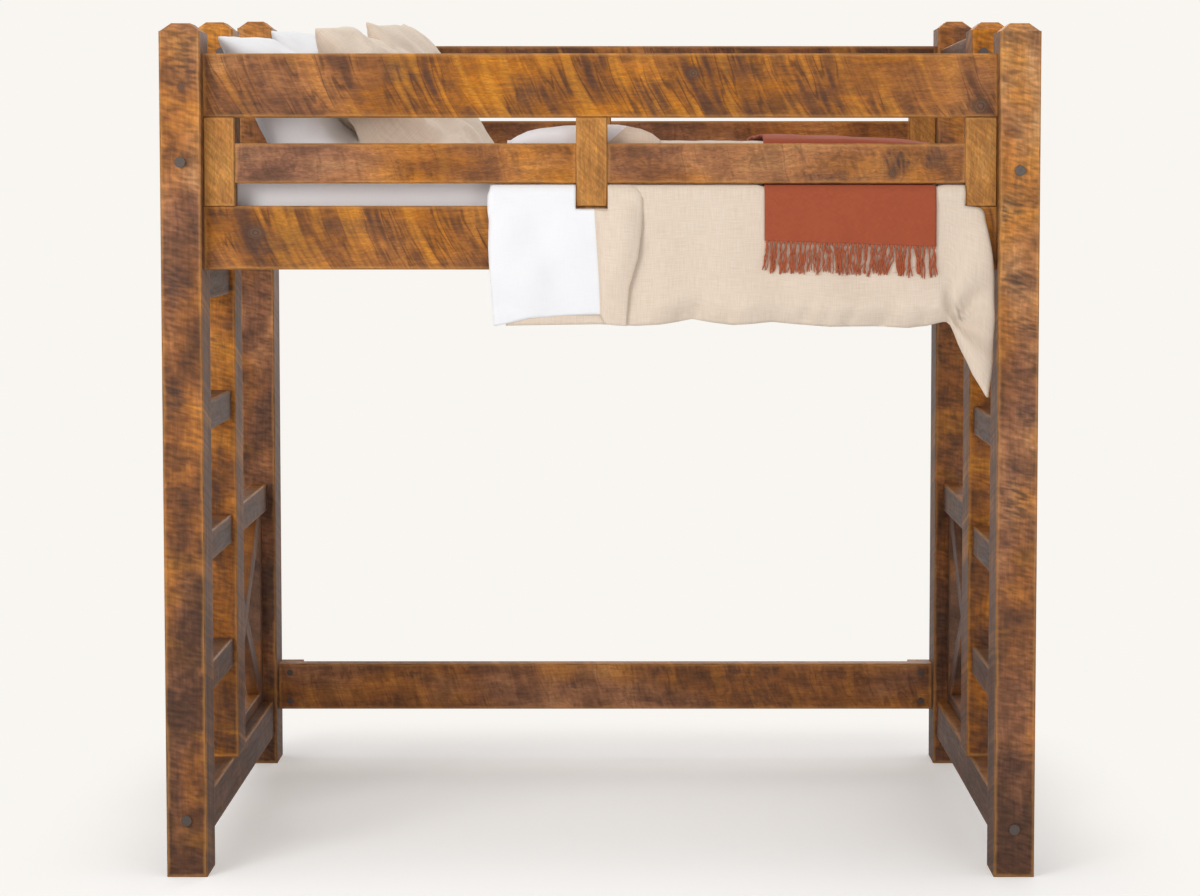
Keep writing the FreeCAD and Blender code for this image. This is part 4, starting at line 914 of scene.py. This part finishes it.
def makeFold():
    look = foldLook
    lines = look["lines"]
    heights = hangPath(look["outer"], 1.852, look["ledgeTop"], 1.37)[:, 1]
    border = borderAt(heights)
    hangs = smoothStep(1.66, 1.63, heights)
    head = look["head"] + hangs * (foldHead(heights) - look["head"])
    foot = look["foot"] + look["topFoot"] * smoothStep(1.74, 1.80, heights)
    foot = foot + hangs * (foldFoot(heights) - look["foot"])
    blockLeft = np.minimum(look["block"][0], border - 0.02)
    blockRight = np.maximum(look["block"][1], border + 0.012)
    between = np.arange(lines[-1] + 1)
    x = np.array([np.interp(between, lines, row) for row in zip(head, blockLeft, border, blockRight, foot)])
    hems = whiteHem(x[-1])
    rests = np.where(x[0] < look["duvetHead"], look["restOnMattress"], look["restOnDuvet"])
    outer = hangLayer(x, look["outer"], moundTop(x[0]), look["ledgeTop"], hems)
    inner = hangLayer(x, look["inner"], rests, look["ledgeUnder"], hems)
    y, z = outer[..., 1], outer[..., 2]
    loft = 0.005 * rolling(6.0, 8.0, x, y) + 0.003 * rolling(15.0, 4.0, x, y)
    outer[..., 2] += topShare(y, z, 1.74, 1.83) * loft
    front = foldFront(x[dropRow:], z[dropRow:])
    thick = (outer - inner)[dropRow:, :, 1]
    hangFront(outer, front, look["easing"])
    hangFront(inner, np.minimum(front - thick * 0.8, look["inner"]["panel"]), look["easing"])
    taperCloth(outer, inner, x[0], *look["taper"])
    # it leaves out what the block and the rail above the ledge take up
    cell = between[:-1]
    notch = (np.arange(len(x) - 1) >= rowStart["inner"]) & (outer[:-1, lines[1], 2] > look["underRail"])
    missing = notch[:, None] & (cell >= lines[1]) & (cell < lines[3])
    return layeredCloth("turnedBackDuvetEnd", outer, inner, ["percale", "linen"], "turned_back_fold",
        missing, cell >= lines[2])


foldPiece = makeFold()
print("turned-back end laid")

# Throw: one band of wool twill over the duvet, with a twisted fringe

throwLook = {
    "head": 0.402,
    "foot": 0.822,
    "hem": (1.571, 1.557),  # at its head and at its foot
    "back": 0.664,
    "columns": 64,
    "thick": 0.004,
    "gap": 0.0008,  # above the duvet's path
    "frontGap": 0.0012,
    "tassels": 36,
    "tasselLength": 0.078,
    "strands": 4,
}


def throwHem(x):
    return np.interp(x, [throwLook["head"], throwLook["foot"]], throwLook["hem"])


def makeThrow():
    look, duvet = throwLook, duvetLook["outer"]
    columns = np.linspace(look["head"], look["foot"], look["columns"])
    tops, ledges = duvetLook["top"] + topRise(columns), ledgeTop(columns)
    layers = []
    for out in (look["thick"] + look["gap"], look["gap"]):
        side = {key: duvet[key] - out for key in ("riser", "panel")}
        side["back"] = look["back"]
        side["radii"] = [radius + way * out for radius, way in zip(duvet["radii"], (1, -1, 1))]
        layers.append(hangLayer(columns, side, tops + out, ledges + out, throwHem(columns)))
    outer, inner = layers
    x, y, z = np.moveaxis(outer, -1, 0)
    ruck = 0.003 + 0.003 * rolling(11.0, 14.0, x, y)
    lift = np.interp(x, [look["head"], 0.55, look["foot"]], [0.010, 0.006, 0.003])
    rise = topShare(y, z, 1.70, 1.80) * (duvetLoft(x, y) + ruck + lift)
    x, z = x[dropRow:], z[dropRow:]
    crease = 0.0012 * np.exp(-((x - 0.651) / 0.003) ** 2)
    wave = 0.0018 * np.sin(2 * np.pi * x / 0.11 + 0.8) * smoothStep(1.66, 1.56, z)
    front = duvetFront(x, z)
    for layer, out in ((outer, look["thick"] + look["frontGap"]), (inner, look["frontGap"])):
        layer[..., 2] += rise
        hangFront(layer, front - out - 0.0018 - wave + crease, duvetLook["easing"])
    return layeredCloth("woolThrow", outer, inner, ["wool"], "throw"), outer


throwPiece, throwOuter = makeThrow()
print("throw laid, its length", round(float(pathLength(throwOuter)[-1]), 3))


def addStrand(points, faces, flats, start, end, bend, winding, turns, phase, steps, radius):
    # yarn that winds round the line from start to end, which sags sideways by bend, thinner at its tip
    first, sides = len(points), 5
    for step in range(steps + 1):
        share = step / steps
        turn = phase + 2 * math.pi * turns * share
        centre = start.lerp(end, share) + bend * math.sin(math.pi * share)
        centre = centre + Vector((math.cos(turn) * winding, math.sin(turn) * winding, 0))
        size = radius * (1 if share < 0.9 else 1 - 0.4 * (share - 0.9) / 0.1)
        for side in range(sides):
            turn = 2 * math.pi * side / sides
            points.append(centre + Vector((math.cos(turn) * size, math.sin(turn) * size, 0)))
            flats.append((side * 0.002, share * 0.08))
    addRings(faces, first, steps + 1, sides)


def addKnot(points, faces, flats, centre, radius):
    first, rings, sides = len(points), 5, 8
    for ring in range(1, rings):
        polar = math.pi * ring / rings
        for side in range(sides):
            turn = 2 * math.pi * side / sides
            points.append(centre + Vector((math.sin(polar) * math.cos(turn) * radius,
                math.sin(polar) * math.sin(turn) * radius * 0.8, math.cos(polar) * radius * 1.25)))
            flats.append((side * 0.003, ring * 0.003))
    addRings(faces, first, rings - 1, sides)


def addRings(faces, first, rings, sides):
    # faces from ring to ring, with a cap at both ends
    last = first + (rings - 1) * sides
    for low in range(first, last, sides):
        faces += bandFaces(low, low + sides, sides)
    faces.append(tuple(range(first, first + sides)))
    faces.append(tuple(reversed(range(last, last + sides))))


def frontAt(x, z):
    return float(duvetFront(np.array([x]), np.array([z]))[0])


def makeFringe():
    look = throwLook
    draw = random.Random(41)
    yarn = points, faces, flats = [], [], []
    for number in range(look["tassels"]):
        x = look["head"] + 0.006 + (look["foot"] - look["head"] - 0.012) * number / (look["tassels"] - 1)
        hem = float(throwHem(x))
        knot = Vector((x, frontAt(x, hem) - 0.0065, hem - 0.003))
        addKnot(*yarn, knot, 0.0042)
        tangled = 0.53 < x < 0.74
        lean = draw.gauss(0, 0.006 if tangled else 0.0035) + (-0.004 if x < 0.45 else 0)
        length = look["tasselLength"] * draw.uniform(0.86, 1.0)
        for strand in range(look["strands"]):
            away = Vector((lean + draw.gauss(0, 0.0035), 0, -length * draw.uniform(0.93, 1.02)))
            end = knot + away
            end.y = frontAt(end.x, end.z) - 0.004 - 0.002 * draw.random()
            bend = Vector((draw.gauss(0, 0.005 if tangled else 0.002), -0.001, 0))
            addStrand(*yarn, knot, end, bend, winding=0.0013, turns=draw.uniform(1.5, 2.5),
                phase=strand * math.pi / 2, steps=16, radius=0.0015)
    # a few strands lie across the others
    for number in range(5):
        x = 0.56 + 0.04 * number + draw.uniform(-0.01, 0.01)
        z = 1.515 - 0.012 * draw.random()
        start = Vector((x, frontAt(x, z) - 0.007, z))
        end = Vector((x + draw.uniform(0.03, 0.06), frontAt(x, z) - 0.007, z + draw.uniform(-0.012, 0.008)))
        addStrand(*yarn, start, end, Vector((0, 0, -0.008)), winding=0.0008, turns=2, phase=number, steps=12,
            radius=0.0011)
    return finishMesh("throwFringe", points, faces, flats, ["yarn"])


fringe = makeFringe()
print("fringe tied")

# Mattress in a fitted sheet

mattressLook = {
    "half": (0.9525, 0.686),
    "bottom": 1.5594,
    "top": 1.7793,
    "corner": 0.07,
    "edge": 0.026,
    "runs": (40, 30),  # parts of the long and of the short sides
    "shrink": (0.93, 0.82, 0.66, 0.46, 0.24),  # rings of the flat top and bottom, in shares of the outline
    "sunk": (0.0035, 0.0015),  # how far the sides are drawn in, and how far all of it is
}


def turned(x, y, spin):
    return x * math.cos(spin) - y * math.sin(spin), x * math.sin(spin) + y * math.cos(spin)


def makeMattress():
    look = mattressLook
    bottom, top, corner, edge = [look[key] for key in ("bottom", "top", "corner", "edge")]
    halfX, halfY = look["half"]
    # heights of the rings and how far each is drawn in: round edge, upright side, round edge
    turns = [math.pi / 2 * step / 6 for step in range(7)]
    levels = [(bottom + edge * (1 - math.cos(turn)), edge * (1 - math.sin(turn))) for turn in turns]
    levels += [(bottom + edge + (top - bottom - 2 * edge) * step / 10, 0) for step in range(1, 10)]
    levels += [(top - edge * (1 - math.sin(turn)), edge * (1 - math.cos(turn))) for turn in turns]
    # the outline, quarter by quarter: centre and direction of each point before its quarter's turn
    outline = []
    for quarterTurn in range(4):
        a, b = (halfX, halfY) if quarterTurn % 2 == 0 else (halfY, halfX)
        spin = math.pi / 2 * quarterTurn
        for step in range(9):
            turn = math.pi / 2 * step / 8
            outline.append((a - corner, b - corner, math.cos(turn), math.sin(turn), spin))
        runs = look["runs"][quarterTurn % 2]
        for step in range(1, runs):
            outline.append(((a - corner) * (1 - 2 * step / runs), b - corner, 0.0, 1.0, spin))
    points, flats, faces = [], [], []
    sideGive, give = look["sunk"]
    for height, inset in levels:
        side = smoothStep(bottom, bottom + 0.05, height) * smoothStep(top, top - 0.04, height)
        walked, previous = 0.0, None
        for cx, cy, nx, ny, spin in outline:
            x, y = turned(cx + nx * (corner - inset), cy + ny * (corner - inset), spin)
            wx, wy = turned(nx, ny, spin)
            pleat = 0.0016 * noise.noise(Vector((x * 9, y * 9, height * 3)))
            pleat += 0.0011 * noise.noise(Vector((x * 34, y * 34, height * 5)))
            nearCorner = max(0.0, 1 - math.hypot(abs(x) - halfX, abs(y) - halfY) / 0.3)
            pleat += 0.002 * nearCorner * math.sin((abs(x) + abs(y)) * 160 + height * 40)
            out = -sideGive * side + pleat * side - give
            points.append((x + wx * out, y + wy * out, height))
            if previous:
                walked += math.dist((x, y), previous)
            previous = (x, y)
            flats.append((walked, height))
    ring = len(outline)
    for low in range(0, len(points) - ring, ring):
        faces += bandFaces(low, low + ring, ring)
    # flat top and bottom, as shrinking rings
    for base, height, swell in ((0, bottom, 0.0), (len(points) - ring, top, 0.0012)):
        last, made = base, []
        for share in look["shrink"]:
            first = len(points)
            for x, y, z in points[base:base + ring]:
                dome = swell * noise.noise(Vector((x * share * 5, y * share * 5, 0)))
                points.append((x * share, y * share, height + dome))
                flats.append((x * share, y * share))
            made += bandFaces(last, first, ring)
            last = first
        made.append(tuple(range(last, last + ring)))
        faces += made if swell else [tuple(reversed(face)) for face in made]
    return finishMesh("mattressInFittedSheet", points, faces, flats, ["percale"], "mattress")


mattressPiece = makeMattress()
print("mattress laid")

# Pillows: each one a sewn bag of two cloths, filled by a short cloth simulation, then set leaning

pillowLook = {
    "across": 56,
    "up": 44,
    "bag": (0.66, 0.52),
    "size": (0.650, 0.512),
    "loft": 0.082,
    "drawnIn": 0.03,
    "seat": 1.7797,
    "rest": 0.03,  # height over which the lower edge flattens on its seat
    "ear": 0.014,
    "frames": 20,
    "most": 0.03,  # the furthest that filling may move a point
}
pillowFilling = {
    "quality": 6,
    "mass": 0.25,
    "tension_stiffness": 20,
    "compression_stiffness": 20,
    "shear_stiffness": 8,
    "bending_stiffness": 0.25,
    "use_pressure": True,
    "uniform_pressure_force": 0.32,
}
# base is the x and z of the lower edge; the middle sags back by sag, and the lower half by lean more than
# the upper; settle is how much thinner the top is; turn and rise are how the far end differs from the near
pillows = {
    "nearWhitePillow": dict(node="near_white_pillow", cloth="percale", slot="white_percale",
        base=(-0.5565, 1.731), y=-0.327, tilt=49, seed=3.0, deep=0.21, sag=0.045, lean=0.030, turn=0.0,
        rise=0.0, settle=0.25),
    "nearBeigePillow": dict(node="near_beige_pillow", cloth="linen", slot="beige_linen",
        base=(-0.322, 1.744), y=-0.327, tilt=47.6, seed=8.0, deep=0.25, sag=0.052, lean=0.018, turn=0.0,
        rise=0.0, settle=0.35),
    "farWhitePillow": dict(node="far_white_pillow", cloth="percale", slot="white_percale",
        base=(-0.5257, 1.757), y=0.327, tilt=45, seed=13.0, deep=0.20, sag=0.040, lean=0.020, turn=0.0,
        rise=0.0, settle=0.2),
    "farBeigePillow": dict(node="far_beige_pillow", cloth="linen", slot="beige_linen", base=(-0.330, 1.725),
        y=0.327, tilt=33, seed=21.0, deep=0.19, sag=0.022, lean=0.012, turn=0.08, rise=0.05, settle=0.45),
}


def pillowBag(seed):
    # points, faces and flat places of both cloths, sewn together round the edge and already softly filled
    across, up, loft, drawn = [pillowLook[key] for key in ("across", "up", "loft", "drawnIn")]
    wide, high = pillowLook["bag"]
    numbers, points, flats, faces = {}, [], [], []
    for layer, j, i in itertools.product((1, -1), range(up + 1), range(across + 1)):
        # the seam belongs to both cloths
        seam = i in (0, across) or j in (0, up)
        if seam and layer < 0:
            continue
        for owner in (1, -1) if seam else (layer,):
            numbers[(owner, i, j)] = len(points)
        a, b = 2 * i / across - 1, 2 * j / up - 1
        full = (max(0.0, 1 - abs(a) ** 3) * max(0.0, 1 - abs(b) ** 3)) ** 0.52
        swell = loft * full * (1 + 0.16 * noise.noise(Vector((a * 4 + seed, b * 4, layer))))
        toEdge = min((1 - abs(a)) * wide / 2, (1 - abs(b)) * high / 2)
        run = a * wide / 2 if (1 - abs(b)) * high < (1 - abs(a)) * wide else b * high / 2
        pucker = 0.005 * noise.noise(Vector((run * 34 + seed, layer * 3.1, seed))) * math.exp(-toEdge / 0.045)
        points.append((a * wide / 2 * (1 - drawn * (1 - b * b)), b * high / 2 * (1 - drawn * (1 - a * a)),
            layer * swell + pucker * min(1.0, toEdge / 0.01)))
        flats.append((a * wide / 2, b * high / 2))
    for layer, j, i in itertools.product((1, -1), range(up), range(across)):
        ring = [numbers[(layer, *corner)] for corner in ((i, j), (i + 1, j), (i + 1, j + 1), (i, j + 1))]
        faces.append(ring[::layer])
    return points, faces, flats


def fillPillow(piece):
    # air pressure with gravity off, then applied; no point may move further than the cap
    before = np.array([vertex.co[:] for vertex in piece.data.vertices])
    choose(piece)
    cloth = piece.modifiers.new("fill", "CLOTH")
    for name, value in pillowFilling.items():
        setattr(cloth.settings, name, value)
    cloth.settings.effector_weights.gravity = 0
    cloth.point_cache.frame_start, cloth.point_cache.frame_end = 1, pillowLook["frames"]
    for moment in range(1, pillowLook["frames"] + 1):
        scene.frame_set(moment)
    bpy.ops.object.modifier_apply(modifier="fill")
    scene.frame_set(1)
    moved = np.array([vertex.co[:] for vertex in piece.data.vertices]) - before
    far = np.linalg.norm(moved, axis=1, keepdims=True)
    return before + moved * np.minimum(1, pillowLook["most"] / np.maximum(far, 1e-9))


def makePillow(name, look):
    points, faces, flats = pillowBag(look["seed"])
    piece = finishMesh(name, points, faces, flats, [look["cloth"]], look["node"])
    wide, high = pillowLook["size"]
    places = fillPillow(piece)
    low, top = places.min(axis=0), places.max(axis=0)
    places = (places - (low + top) / 2) / (top - low) * np.array([wide, high, look["deep"]])
    print(name, "filled to", [round(float(v), 3) for v in top - low])
    # it leans, so it sags back and down between its two long edges, its upper corners left standing as ears
    width, height, depth = places.T
    share = np.clip(height / high + 0.5, 0, 1)
    depth = depth * (1 + look["settle"] * (0.45 - share ** 1.5))
    depth = depth - (look["sag"] * np.sin(np.pi * share) + look["lean"] * np.sin(2 * np.pi * share))
    toCorner = np.hypot(np.abs(width) - wide / 2, height - high / 2)
    up = height + high / 2 + pillowLook["ear"] * np.exp(-(toCorner / 0.045) ** 2)
    tilt = math.radians(look["tilt"])
    x = look["base"][0] - np.sin(tilt) * up + np.cos(tilt) * depth + look["turn"] * width
    y = look["y"] + width
    z = look["base"][1] + np.cos(tilt) * up + np.sin(tilt) * depth + look["rise"] * width * share
    seat, rest = pillowLook["seat"], pillowLook["rest"]
    z = np.where(z < seat + rest, seat + rest * np.exp(np.clip((z - seat - rest) / rest, -6, 0)), z)
    piece.data.vertices.foreach_set("co", np.stack([x, y, z], axis=1).astype(np.float32).ravel())
    piece.data.update()
    rounding = piece.modifiers.new("round", "SUBSURF")
    rounding.levels = rounding.render_levels = 1
    choose(piece)
    bpy.ops.object.modifier_apply(modifier="round")


for name, look in pillows.items():
    makePillow(name, look)
print("pillows set")
